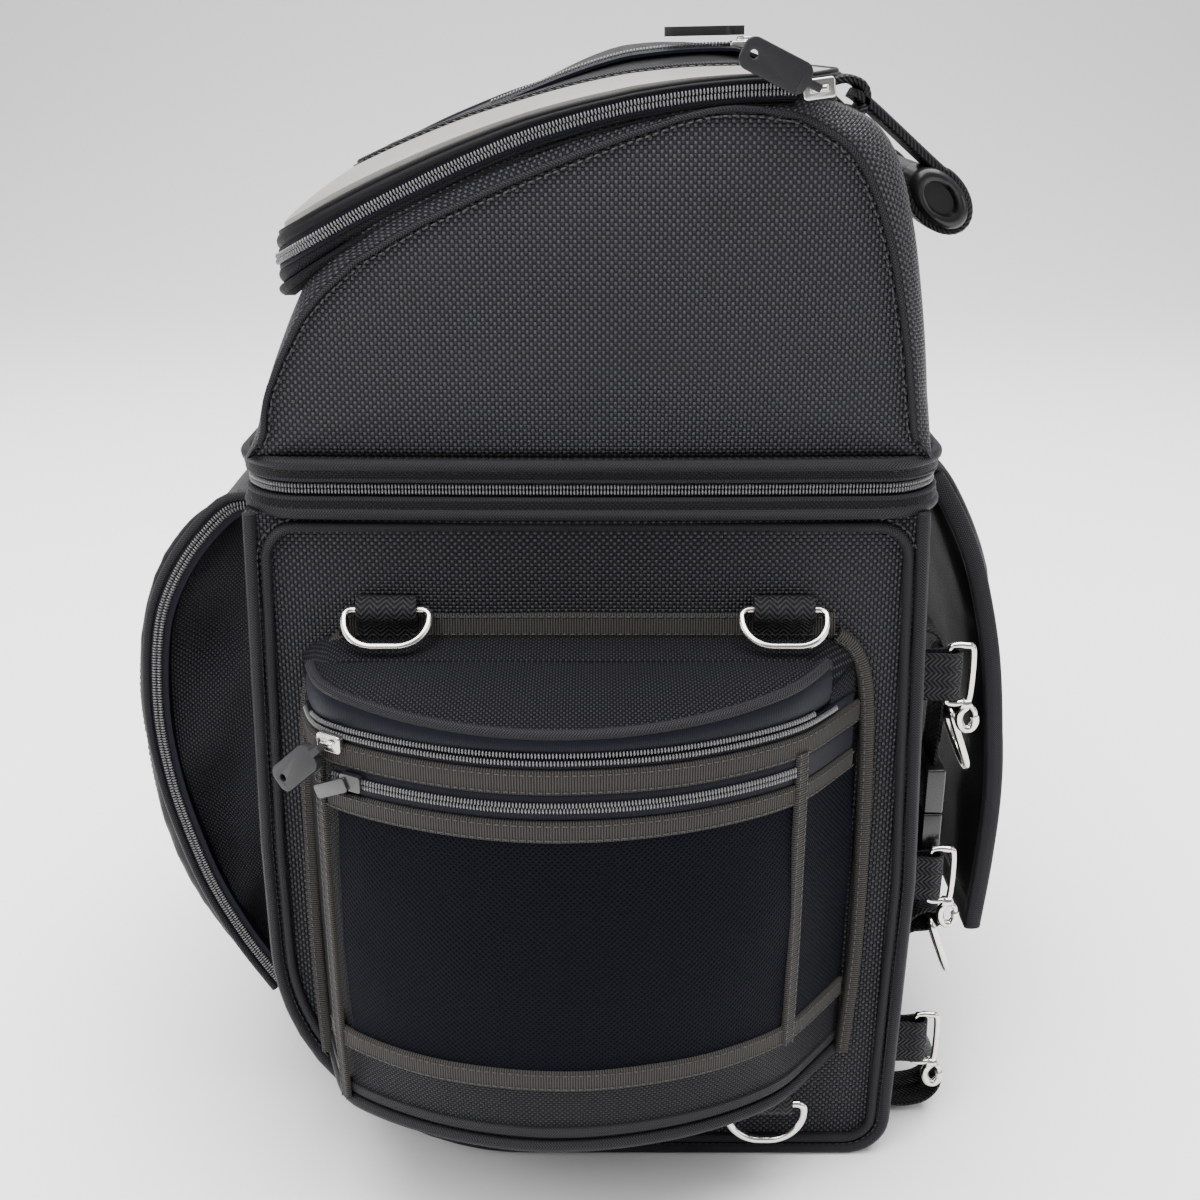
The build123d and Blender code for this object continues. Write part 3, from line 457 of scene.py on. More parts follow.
def smooth_path(points: Sequence[Sequence[float]], step: float, closed: bool = False) -> Array:
    """A Catmull-Rom curve through points, evenly spaced."""
    knots = np.asarray(points, float)
    count = len(knots)
    spans = count if closed else count - 1
    curve = []
    for i in range(spans):
        if closed:
            a, b, c, d = (knots[(i + k) % count] for k in (-1, 0, 1, 2))
        else:
            a, b, c, d = (knots[min(max(i + k, 0), count - 1)] for k in (-1, 0, 1, 2))
        for t in np.linspace(0.0, 1.0, 12, endpoint=False):
            curve.append(
                0.5 * (2 * b + (c - a) * t + (2 * a - 5 * b + 4 * c - d) * t**2 + (3 * b - a - 3 * c + d) * t**3)
            )
    if not closed:
        curve.append(knots[-1])
    return resample(np.array(curve), step, closed)


def rounded_path(corners: Sequence[tuple[float, float, float]], step: float, closed: bool = True) -> Array:
    """A polygon with each corner rounded by its own radius.

    Args:
        corners: two coordinates and the radius of each corner.
        step: distance between points.
        closed: whether the line joins up.

    Returns:
        Evenly spaced points.
    """
    spots = np.array([c[:2] for c in corners], float)
    line = []
    for i, corner in enumerate(corners):
        here, radius = spots[i], corner[2]
        if radius <= 0 or (not closed and i in (0, len(corners) - 1)):
            line.append(here)
            continue
        back = spots[i - 1] - here
        ahead = spots[(i + 1) % len(corners)] - here
        back, ahead = back / np.linalg.norm(back), ahead / np.linalg.norm(ahead)
        half = math.acos(float(np.clip(back @ ahead, -1, 1))) / 2
        reach = radius / math.tan(half)
        middle = here + (back + ahead) / np.linalg.norm(back + ahead) * radius / math.sin(half)
        start, end = here + back * reach - middle, here + ahead * reach - middle
        for t in np.linspace(0.0, 1.0, 14):
            ray = start * (1 - t) + end * t
            line.append(middle + ray / np.linalg.norm(ray) * radius)
    return resample(np.array(line), step, closed)


def directions(path: Array, closed: bool) -> Array:
    """Unit tangents of a line."""
    if closed:
        run = np.roll(path, -1, axis=0) - np.roll(path, 1, axis=0)
    else:
        run = np.gradient(path, axis=0)
    return run / np.maximum(np.linalg.norm(run, axis=1, keepdims=True), 1e-9)


def unit(rows: Array) -> Array:
    """Rows scaled to length one."""
    return rows / np.maximum(np.linalg.norm(rows, axis=-1, keepdims=True), 1e-9)


def in_side_plane(path: Array, y: float) -> Array:
    """An X-Z line placed at a Y."""
    return np.stack([path[:, 0], np.full(len(path), y), path[:, 1]], axis=1)


def facing(side: int, path: Array) -> Array:
    """For each point of a line, the direction straight out of a side of the bag."""
    return np.tile((0.0, float(side), 0.0), (len(path), 1))


def waves(place: Sequence[float], size: float, seed: float) -> float:
    """Smooth unevenness of cloth, from -1 to 1, with features about size millimetres across."""
    return noise.noise(Vector([c / size for c in place]) + Vector((seed, seed * 0.7, seed * 1.3)))


# ---- shells ----
@dataclass
class Shell:
    """A mesh being made: points in millimetres, faces, and the cloth's own coordinates for each corner."""

    points: Array
    faces: list[tuple[int, ...]]
    uvs: list[list[tuple[float, float]]]

    @classmethod
    def join(cls, shells: Sequence["Shell"]) -> "Shell":
        """All of shells as one."""
        points, faces, uvs, base = [], [], [], 0
        for shell in shells:
            points.append(shell.points)
            faces += [tuple(i + base for i in face) for face in shell.faces]
            uvs += shell.uvs
            base += len(shell.points)
        return cls(np.vstack(points), faces, uvs)


def grid(points: Array, uv: Array, wrap_u: bool = False, wrap_v: bool = False) -> Shell:
    """A mesh of quads over rows and columns of points.

    Args:
        points: rows by columns by three.
        uv: cloth coordinates, with one more row or column where the grid wraps.
        wrap_u: whether the last row joins the first.
        wrap_v: whether the last column joins the first.

    Returns:
        The mesh.
    """
    rows, columns = points.shape[:2]
    faces, uvs = [], []
    for i in range(rows if wrap_u else rows - 1):
        for j in range(columns if wrap_v else columns - 1):
            k, m = (i + 1) % rows, (j + 1) % columns
            faces.append((i * columns + j, k * columns + j, k * columns + m, i * columns + m))
            uvs.append([tuple(uv[i, j]), tuple(uv[i + 1, j]), tuple(uv[i + 1, j + 1]), tuple(uv[i, j + 1])])
    return Shell(points.reshape(-1, 3), faces, uvs)


def slab(front: Array, back: Array, uv: Array, wrap: bool = False) -> Shell:
    """A closed layer of cloth between two grids of the same size; wrap joins its last row to its first."""
    parts = [grid(front, uv, wrap), grid(back, uv, wrap)]
    edges = [(front[:, 0], back[:, 0], uv[:, 0]), (front[:, -1], back[:, -1], uv[:, -1])]
    if not wrap:
        edges += [(front[0], back[0], uv[0]), (front[-1], back[-1], uv[-1])]
    for outer, inner, mark in edges:
        wall = np.stack([outer, inner], axis=1)
        parts.append(grid(wall, np.stack([mark, mark + (0.0, 3.0)], axis=1), wrap and len(outer) == len(front)))
    return Shell.join(parts)


def sweep(path: Array, outs: Array, section: Array, closed: bool = False) -> Shell:
    """Draws a section along a line.

    Args:
        path: the line.
        outs: at each point, the direction that faces away from the bag.
        section: closed outline; first column across the line, second away from the bag.
        closed: whether the line joins up.

    Returns:
        A closed mesh.
    """
    along = directions(path, closed)
    cross = unit(np.cross(along, outs))
    outs = unit(np.cross(cross, along))
    points = path[:, None] + cross[:, None] * section[None, :, :1] + outs[:, None] * section[None, :, 1:2]
    ends = np.vstack([path, path[:1]]) if closed else path
    run = np.concatenate([[0.0], np.cumsum(np.linalg.norm(np.diff(ends, axis=0), axis=1))])
    loop = np.vstack([section, section[:1]])
    girth = np.concatenate([[0.0], np.cumsum(np.linalg.norm(np.diff(loop, axis=0), axis=1))])
    uv = np.stack(np.meshgrid(run, girth, indexing="ij"), axis=-1)
    shell = grid(points, uv, closed, True)
    if not closed:
        count, last = len(section), (len(path) - 1) * len(section)
        for base in (0, last):
            shell.faces.append(tuple(range(base, base + count)))
            shell.uvs.append([tuple(p) for p in section])
    return shell


def cord_section(radius: float, lift: float = 0.0, sides: int = 12) -> Array:
    """Round section whose middle stands lift away from the line."""
    turn = np.linspace(0, 2 * math.pi, sides, endpoint=False)
    return np.stack([np.cos(turn) * radius, np.sin(turn) * radius + lift], axis=1)


def band_section(width: float, thick: float, crown: float = 0.0, sink: float = 0.8) -> Array:
    """Flat band with soft edges, its face crowned and its back sunk into what it lies on."""
    share = np.array([-1, -0.97, -0.88, -0.6, -0.3, 0, 0.3, 0.6, 0.88, 0.97, 1])
    top = thick * (1 - np.abs(share) ** 14) + crown * (1 - share**2)
    face = np.stack([share * width / 2, top], axis=1)
    return np.vstack([face, [(width / 2, -sink), (-width / 2, -sink)]])


def star_rings(outline: Array, centre: Sequence[float], low: Array, high: Array, rings: int) -> tuple[Array, Array]:
    """Points between two shares of the way from a centre to an outline.

    Args:
        outline: closed flat outline.
        centre: flat point that sees the whole outline.
        low: share at the inner edge for each outline point.
        high: share at the outer edge.
        rings: how many steps between them.

    Returns:
        Outline points by rings by two, and the share at each.
    """
    steps = np.linspace(0.0, 1.0, rings + 1)
    share = low[:, None] * (1 - steps) + high[:, None] * steps
    spots = np.asarray(centre) + (outline - np.asarray(centre))[:, None] * share[:, :, None]
    return spots, share


def blank(rows: int, columns: int) -> tuple[Array, Array, Array]:
    """Empty grids for a cloth's face, its back and its coordinates."""
    return np.zeros((rows, columns, 3)), np.zeros((rows, columns, 3)), np.zeros((rows, columns, 2))


def closed_uv(spots: Array) -> Array:
    """Flat places as cloth coordinates, with the first row repeated at the end."""
    return np.concatenate([spots, spots[:1]])


# ---- pieces ----
def dress(
    thing: bpy.types.Object, finish: Finish, body: str, stands_for: Sequence[str] = ()
) -> bpy.types.Object:
    """Gives a finished mesh its material and body, and hides the nodes it stands for.

    Args:
        thing: the object, at the origin.
        finish: its finish.
        body: the body it moves with.
        stands_for: nodes that it takes the place of.

    Returns:
        The same object.
    """
    if not thing.data.materials:
        thing.data.materials.append(WARDROBE.material(finish))
    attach(thing, body)
    if stands_for:
        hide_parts(*stands_for)
    LOG.info("%s on %s: %d faces", thing.name, body, len(thing.data.polygons))
    return thing


def placed(name: str, data: bpy.types.ID) -> bpy.types.Object:
    """Makes an object at the origin and links it to the scene."""
    thing = bpy.data.objects.new(name, data)
    bpy.context.scene.collection.objects.link(thing)
    return thing


def smooth_shade(mesh: bpy.types.Mesh, degrees: float = 45.0) -> None:
    """Shades a mesh smooth except at its sharper edges."""
    mesh.polygons.foreach_set("use_smooth", [True] * len(mesh.polygons))
    mesh.set_sharp_from_angle(angle=math.radians(degrees))


def mesh_object(name: str, shell: Shell) -> bpy.types.Object:
    """Turns a shell into an object in metres, welded, with its faces outward.

    Args:
        name: the piece's name.
        shell: its points, faces and cloth coordinates.

    Returns:
        The object, linked to the scene.
    """
    mesh = bpy.data.meshes.new(name)
    mesh.from_pydata((shell.points * MM).tolist(), [], shell.faces)
    layer = mesh.uv_layers.new(name=CLOTH_UV)
    flat = np.array([c for face in shell.uvs for c in face], np.float32) * MM
    layer.data.foreach_set("uv", flat.ravel())
    work = bmesh.new()
    work.from_mesh(mesh)
    bmesh.ops.remove_doubles(work, verts=work.verts, dist=3e-6)
    bmesh.ops.dissolve_degenerate(work, edges=work.edges, dist=1e-6)
    bmesh.ops.recalc_face_normals(work, faces=work.faces)
    work.to_mesh(mesh)
    work.free()
    smooth_shade(mesh)
    return placed(name, mesh)


def piece(name: str, shell: Shell, finish: Finish, body: str, *stands_for: str) -> bpy.types.Object:
    """Makes a shell into a dressed piece."""
    return dress(mesh_object(name, shell), finish, body, stands_for)


def box_cloth(mesh: bpy.types.Mesh) -> None:
    """Lays cloth coordinates on a mesh from whichever axis each face looks along."""
    layer = mesh.uv_layers.get(CLOTH_UV) or mesh.uv_layers.new(name=CLOTH_UV)
    spots = places(mesh)
    looks = np.zeros(len(mesh.polygons) * 3, np.float32)
    mesh.polygons.foreach_get("normal", looks)
    axis = np.abs(looks.reshape(-1, 3)).argmax(axis=1)
    corner_points = np.zeros(len(mesh.loops), np.int32)
    mesh.loops.foreach_get("vertex_index", corner_points)
    totals = np.zeros(len(mesh.polygons), np.int32)
    mesh.polygons.foreach_get("loop_total", totals)
    picks = np.array([(1, 2), (0, 2), (0, 1)])[np.repeat(axis, totals)]
    rows = spots[corner_points]
    flat = np.stack([rows[np.arange(len(rows)), picks[:, 0]], rows[np.arange(len(rows)), picks[:, 1]]], axis=1)
    layer.data.foreach_set("uv", flat.astype(np.float32).ravel())


def places(mesh: bpy.types.Mesh) -> Array:
    """The mesh's points, one row each."""
    spots = np.zeros(len(mesh.vertices) * 3, np.float32)
    mesh.vertices.foreach_get("co", spots)
    return spots.reshape(-1, 3)


def settled(thing: bpy.types.Object) -> bpy.types.Object:
    """Applies an object's modifiers to its mesh."""
    graph = bpy.context.evaluated_depsgraph_get()
    made = bpy.data.meshes.new_from_object(thing.evaluated_get(graph))
    thing.modifiers.clear()
    old = thing.data
    thing.data = made
    made.name = thing.name
    bpy.data.meshes.remove(old)
    return thing


@dataclass(frozen=True)
class Stuffing:
    """How a padded piece is filled by a short cloth simulation.

    Args:
        voxel: size of the remesh in metres.
        pressure: push of the filling.
        frames: length of the simulation.
        cap: furthest that a point may move, in metres.
    """

    voxel: float = 0.0055
    pressure: float = 4.0
    frames: int = 20
    cap: float = 0.008

    def fill(self, thing: bpy.types.Object) -> bpy.types.Object:
        """Swells the object, keeps each point within the cap, and smooths it."""
        remesh = thing.modifiers.new("remesh", "REMESH")
        remesh.mode, remesh.voxel_size = "VOXEL", self.voxel
        settled(thing)
        rest = places(thing.data)
        cloth = thing.modifiers.new("cloth", "CLOTH")
        cloth.settings.quality = 5
        cloth.settings.mass = 0.3
        cloth.settings.use_pressure = True
        cloth.settings.uniform_pressure_force = self.pressure
        cloth.settings.effector_weights.gravity = 0.0
        cloth.collision_settings.use_collision = False
        cloth.collision_settings.use_self_collision = False
        cloth.point_cache.frame_start, cloth.point_cache.frame_end = 1, self.frames
        scene = bpy.context.scene
        for number in range(1, self.frames + 1):
            scene.frame_set(number)
        settled(thing)
        scene.frame_set(1)
        moved = places(thing.data) - rest
        far = np.linalg.norm(moved, axis=1, keepdims=True)
        moved *= np.minimum(1.0, self.cap / np.maximum(far, 1e-9))
        thing.data.vertices.foreach_set("co", (rest + moved).ravel())
        smooth = thing.modifiers.new("smooth", "SMOOTH")
        smooth.factor, smooth.iterations = 0.6, 4
        finer = thing.modifiers.new("finer", "SUBSURF")
        finer.levels = finer.render_levels = 1
        settled(thing)
        box_cloth(thing.data)
        smooth_shade(thing.data, 80.0)
        return thing


def coat(name: str, finish: Finish) -> None:
    """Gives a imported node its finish."""
    node = frame["nodes"][name]
    node.data.materials.clear()
    node.data.materials.append(WARDROBE.material(finish))


class Rows:
    """Geometry Nodes trees that repeat a small shape along lines: stitches and zip coils."""

    def __init__(self) -> None:
        """Builds the one tree that both use."""
        self.tree = bpy.data.node_groups.new("row_along_line", "GeometryNodeTree")
        face = self.tree.interface
        self.keys = {}
        for label, kind in (
            ("Geometry", "NodeSocketGeometry"),
            ("Pitch", "NodeSocketFloat"),
            ("Size", "NodeSocketVector"),
            ("Finish", "NodeSocketMaterial"),
        ):
            self.keys[label] = face.new_socket(name=label, in_out="INPUT", socket_type=kind).identifier
        face.new_socket(name="Geometry", in_out="OUTPUT", socket_type="NodeSocketGeometry")
        wires = Wires(self.tree)
        taken, given = wires.add("NodeGroupInput"), wires.add("NodeGroupOutput")
        lines = wires.add("GeometryNodeMeshToCurve")
        spaced = wires.add("GeometryNodeResampleCurve", mode="LENGTH")
        seed = wires.add("GeometryNodeMeshUVSphere")
        out = wires.add("GeometryNodeInputNamedAttribute", data_type="FLOAT_VECTOR")
        along = wires.add("GeometryNodeInputTangent")
        turn = wires.add("FunctionNodeAxesToRotation", primary_axis="Z", secondary_axis="X")
        points = wires.add("GeometryNodeInstanceOnPoints")
        real = wires.add("GeometryNodeRealizeInstances")
        finish = wires.add("GeometryNodeSetMaterial")
        for node, socket, value in (
            (lines, 0, taken.outputs["Geometry"]),
            (spaced, "Curve", lines.outputs[0]),
            (spaced, "Length", taken.outputs["Pitch"]),
            (seed, "Segments", 6),
            (seed, "Rings", 4),
            (seed, "Radius", 0.5),
            (out, 0, "out"),
            (turn, 0, out.outputs[0]),
            (turn, 1, along.outputs[0]),
            (points, "Points", spaced.outputs[0]),
            (points, "Instance", seed.outputs[0]),
            (points, "Rotation", turn.outputs[0]),
            (points, "Scale", taken.outputs["Size"]),
            (real, 0, points.outputs[0]),
            (finish, "Geometry", real.outputs[0]),
            (finish, "Material", taken.outputs["Finish"]),
            (given, 0, finish.outputs[0]),
        ):
            wires.feed(node.inputs[socket], value)

    def make(
        self,
        name: str,
        lines: Sequence[tuple[Array, Array]],
        pitch: float,
        size: tuple[float, float, float],
        finish: Finish,
        body: str,
    ) -> bpy.types.Object:
        """Repeats the shape along lines and makes the result a plain mesh.

        Args:
            name: the piece's name.
            lines: for each line, its points and the directions away from the bag.
            pitch: distance between shapes in millimetres.
            size: the shape's length along the line, width and height in millimetres.
            finish: its finish.
            body: the body it moves with.

        Returns:
            The piece.
        """
        points, outs, edges, base = [], [], [], 0
        for path, away in lines:
            points.append(path)
            outs.append(away)
            edges += [(base + i, base + i + 1) for i in range(len(path) - 1)]
            base += len(path)
        mesh = bpy.data.meshes.new(name)
        mesh.from_pydata((np.vstack(points) * MM).tolist(), edges, [])
        attribute = mesh.attributes.new("out", "FLOAT_VECTOR", "POINT")
        attribute.data.foreach_set("vector", np.vstack(outs).astype(np.float32).ravel())
        thing = placed(name, mesh)
        work = thing.modifiers.new("row", "NODES")
        work.node_group = self.tree
        work[self.keys["Pitch"]] = pitch * MM
        work[self.keys["Size"]] = [s * MM for s in size]
        work[self.keys["Finish"]] = WARDROBE.material(finish)
        settled(thing)
        smooth_shade(thing.data, 60.0)
        return dress(thing, finish, body)

    def stitches(self, name: str, lines: Sequence[tuple[Array, Array]], body: str) -> bpy.types.Object:
        """Running stitches along seams."""
        return self.make(name, lines, 3.3, (2.5, 0.75, 0.6), THREAD, body)

    def coil(self, name: str, lines: Sequence[tuple[Array, Array]], body: str) -> bpy.types.Object:
        """One half of a zip's coil along its edge."""
        return self.make(name, lines, 1.35, (1.0, 2.7, 1.9), COIL_WITH_PAINTED_GLINTS, body)


ROWS = Rows()


def beside(path: Array, outs: Array, across: float, lift: float, closed: bool = False) -> tuple[Array, Array]:
    """A line moved sideways on its surface and off it, with its directions, for rows of stitches or coil."""
    cross = unit(np.cross(directions(path, closed), outs))
    moved = path + cross * across + unit(outs) * lift
    if closed:
        return np.vstack([moved, moved[:1]]), np.vstack([outs, outs[:1]])
    return moved, outs


# ---- shared measures ----
@dataclass(frozen=True)
class BagSizes:
    """Sizes that several sub-assemblies share, in millimetres."""

    half_width: float = 170.0
    lower_top: float = 323.5
    belt_z: float = 334.75
    belt_front: float = -139.0
    belt_back: float = 140.0
    belt_corner: float = 24.0
    lid_centre: tuple[float, float] = (146.367, 6.666)
    lid_radius: float = 483.63

    def on_lid(self, x: Array, above: float = 0.0) -> Array:
        """Height of the lid's arc at x, with the arc grown by above."""
        return self.lid_centre[1] + np.sqrt((self.lid_radius + above) ** 2 - (x - self.lid_centre[0]) ** 2)

    def seam(self, x: Array, above: float = 0.0) -> Array:
        """Height of the lid's zip at x, or of a line above it; stuffing lifts it over the arc towards the front."""
        lift = np.interp(x, (-130, -117, -67, -23, -1, 16, 38, 59, 82), (13.2, 12.8, 10.6, 10.1, 8.9, 7.8, 5.6, 3.2, 0))
        return self.on_lid(x) + lift + above

    def lower_corners(self) -> list[tuple[float, float, float]]:
        """Side outline of the lower case from the top of its front, down and round to the top of its back."""
        return [
            (-141.0, self.lower_top, 0.0),
            (-146.0, 170.0, 60.0),
            (-146.0, 0.0, 115.0),
            (142.0, 0.0, 20.0),
            (145.0, 150.0, 60.0),
            (138.0, self.lower_top, 0.0),
        ]

    def bow(self, x: float, z: float) -> float:
        """How far the sides stand out round the belt, where the load pushes them."""
        along = max(0.0, 1 - (x / 138) ** 2)
        return 3.0 * along * math.exp(-(((z - self.belt_z) / 34) ** 2))


SIZES = BagSizes()
HOOK_HEIGHTS = (244.0, 143.0, 52.0)


@dataclass
class LowerCase:
    """Lower half of the bag: two woven side panels, one wrapped wall, and the piping between them."""

    sag: float = 2.6
    wall_crown: float = 3.0
    wall_thick: float = 4.0
    piping_radius: float = 2.9
    stitch_gap: float = 3.6

    def build(self) -> None:
        """Makes and dresses every piece."""
        for side in (NEAR, FAR):
            self._panel(side)
            self._piping(side)
        self._wall()
        coat("base_board", BOARD)

    def _panel(self, side: int) -> None:
        """One side panel, a little swollen, with the soft dents of foam-backed cloth."""
        outline = rounded_path(SIZES.lower_corners(), 6.0)
        count = len(outline)
        spots, share = star_rings(outline, (0.0, 165.0), np.zeros(count), np.ones(count), 26)
        front = np.zeros((*spots.shape[:2], 3))
        for i in range(count):
            for j in range(spots.shape[1]):
                x, z = spots[i, j]
                edge = 1 - share[i, j] ** 6
                dent = 1.1 * waves((x, 0, z), 70, 3.0 + side) + 0.45 * waves((x, 0, z), 26, 9.0 + side)
                swell = self.sag * (1 - share[i, j] ** 2.5) + dent * edge + SIZES.bow(x, z)
                front[i, j] = (x, side * (SIZES.half_width + swell), z)
        back = front.copy()
        back[:, :, 1] = side * (SIZES.half_width - self.wall_thick)
        shell = slab(front, back, closed_uv(spots), wrap=True)
        piece(f"lower_panel_{word(side)}", shell, BALLISTIC, "lower_case", f"lower_side_{word(side)}")

    def _wall(self) -> None:
        """Front, base and back in one run of cloth."""
        line = rounded_path(SIZES.lower_corners(), 6.0, closed=False)
        away = directions(line, False)[:, ::-1] * (-1, 1)
        rows = np.linspace(-1, 1, 45)
        run = np.arange(len(line)) * 6.0
        front, back, uv = blank(len(line), len(rows))
        for i, (x, z) in enumerate(line):
            free = min(1.0, max(0.0, (z - 20) / 70))
            for j, share in enumerate(rows):
                y = share * (SIZES.half_width - 0.5)
                crown = self.wall_crown * (1 - share**4) * free
                crown += free * (1 - share**8) * 1.4 * waves((x, y, z), 60, 21.0)
                off = np.array([x, z]) - away[i] * crown
                front[i, j] = (off[0], y, max(off[1], 0.0))
                inner = np.array([x, z]) + away[i] * self.wall_thick
                back[i, j] = (inner[0], y * 0.99, inner[1])
                uv[i, j] = (run[i], y)
        stands_for = ("lower_front", "lower_back", "base_panel")
        piece("lower_wall", slab(front, back, uv), GUSSET_CLOTH, "lower_case", *stands_for)

    def _piping(self, side: int) -> None:
        """Piped seam round a side panel, with the row of stitches inside it."""
        line = rounded_path(SIZES.lower_corners(), 4.0, closed=False)
        inward = directions(line, False)[:, ::-1] * (-1, 1)
        path = in_side_plane(line + inward * 2.4, side * (SIZES.half_width + 0.6))
        outs = facing(side, path)
        shells = [sweep(path, outs, cord_section(self.piping_radius))]
        ring = in_side_plane(self._inner_frame(), side * (SIZES.half_width + 1.2))
        ring_outs = facing(side, ring)
        shells.append(sweep(ring, ring_outs, cord_section(2.2), True))
        name = f"lower_cord_{word(side)}"
        piece(name, Shell.join(shells), PIPING, "lower_case", *(["lower_piping"] if side == NEAR else []))
        seam = beside(ring, ring_outs, self.stitch_gap, 0.6, True)
        ROWS.stitches(f"lower_stitches_{word(side)}", [seam], "lower_case")

    def _inner_frame(self) -> Array:
        """Closed line of the inner cord, whose upper corners turn in under the belt."""
        corners = [(-132.5, 318.0, 14.0), (-137.5, 170.0, 60.0), (-137.5, 8.5, 107.0), (133.5, 8.5, 13.0),
                   (136.5, 150.0, 60.0), (130.0, 318.0, 14.0)]
        return rounded_path(corners, 4.0)


@dataclass
class Belt:
    """The zip that joins the two halves, between two padded flaps with piped edges."""

    flap_height: float = 7.4
    flap_thick: float = 2.6
    flap_crown: float = 1.4
    cord_radius: float = 2.7
    bow_from: float = 168.0

    def build(self) -> None:
        """Makes both flaps, tapes and coil halves."""
        for body, sign, rim in (("lower_case", -1, "lower_rim"), ("upper_case", 1, "upper_rim")):
            half = "lower" if sign < 0 else "upper"
            path, outs = self._ring(0.8)
            flap = path + (0.0, 0.0, SIZES.belt_z + sign * (3.4 + self.flap_height / 2))
            section = band_section(self.flap_height + 1.0, self.flap_thick, self.flap_crown, 4.0)
            piece(f"{half}_flap", sweep(flap, outs, section, True), GUSSET_CLOTH, body, rim)
            edge = path + (0.0, 0.0, SIZES.belt_z + sign * (self.flap_height + 2.6))
            cord = sweep(edge, outs, cord_section(self.cord_radius, 2.4), True)
            lip = path + (0.0, 0.0, SIZES.belt_z + sign * 4.0)
            fold = sweep(lip, outs, cord_section(1.1, 2.6), True)
            piece(f"{half}_flap_cord", Shell.join([cord, fold]), PIPING, body)
            tape = sweep(path + (0.0, 0.0, SIZES.belt_z + sign * 2.2), outs, band_section(4.0, 0.8, 0.0, 2.0), True)
            stands_for = {"lower": [], "upper": ["upper_case_zips"]}[half]
            piece(f"{half}_belt_tape", tape, ZIP_TAPE, body, *stands_for)
            row = beside(path + (0.0, 0.0, SIZES.belt_z + sign * 1.1), outs, 0.0, 1.6, True)
            ROWS.coil(f"{half}_belt_coil", [row], body)
            seam = beside(path + (0.0, 0.0, SIZES.belt_z + sign * self.flap_height), outs, 0.0, 3.7, True)
            ROWS.stitches(f"{half}_belt_stitches", [seam], body)

    def _ring(self, grow: float) -> tuple[Array, Array]:
        """Plan of the belt at height zero and the directions away from it."""
        reach = SIZES.half_width + grow
        front, back, corner = SIZES.belt_front - grow, SIZES.belt_back + grow, SIZES.belt_corner
        flat = rounded_path(
            [(front, -reach, corner), (back, -reach, corner), (back, reach, corner), (front, reach, corner)], 5.0
        )
        run = directions(flat, True)
        path = np.column_stack([flat, np.zeros(len(flat))])
        for spot in path:
            out = SIZES.bow(spot[0], SIZES.belt_z) * min(1.0, abs(spot[1]) / self.bow_from) ** 40
            spot[1] += math.copysign(out, spot[1])
        return path, np.column_stack([run[:, 1], -run[:, 0], np.zeros(len(flat))])


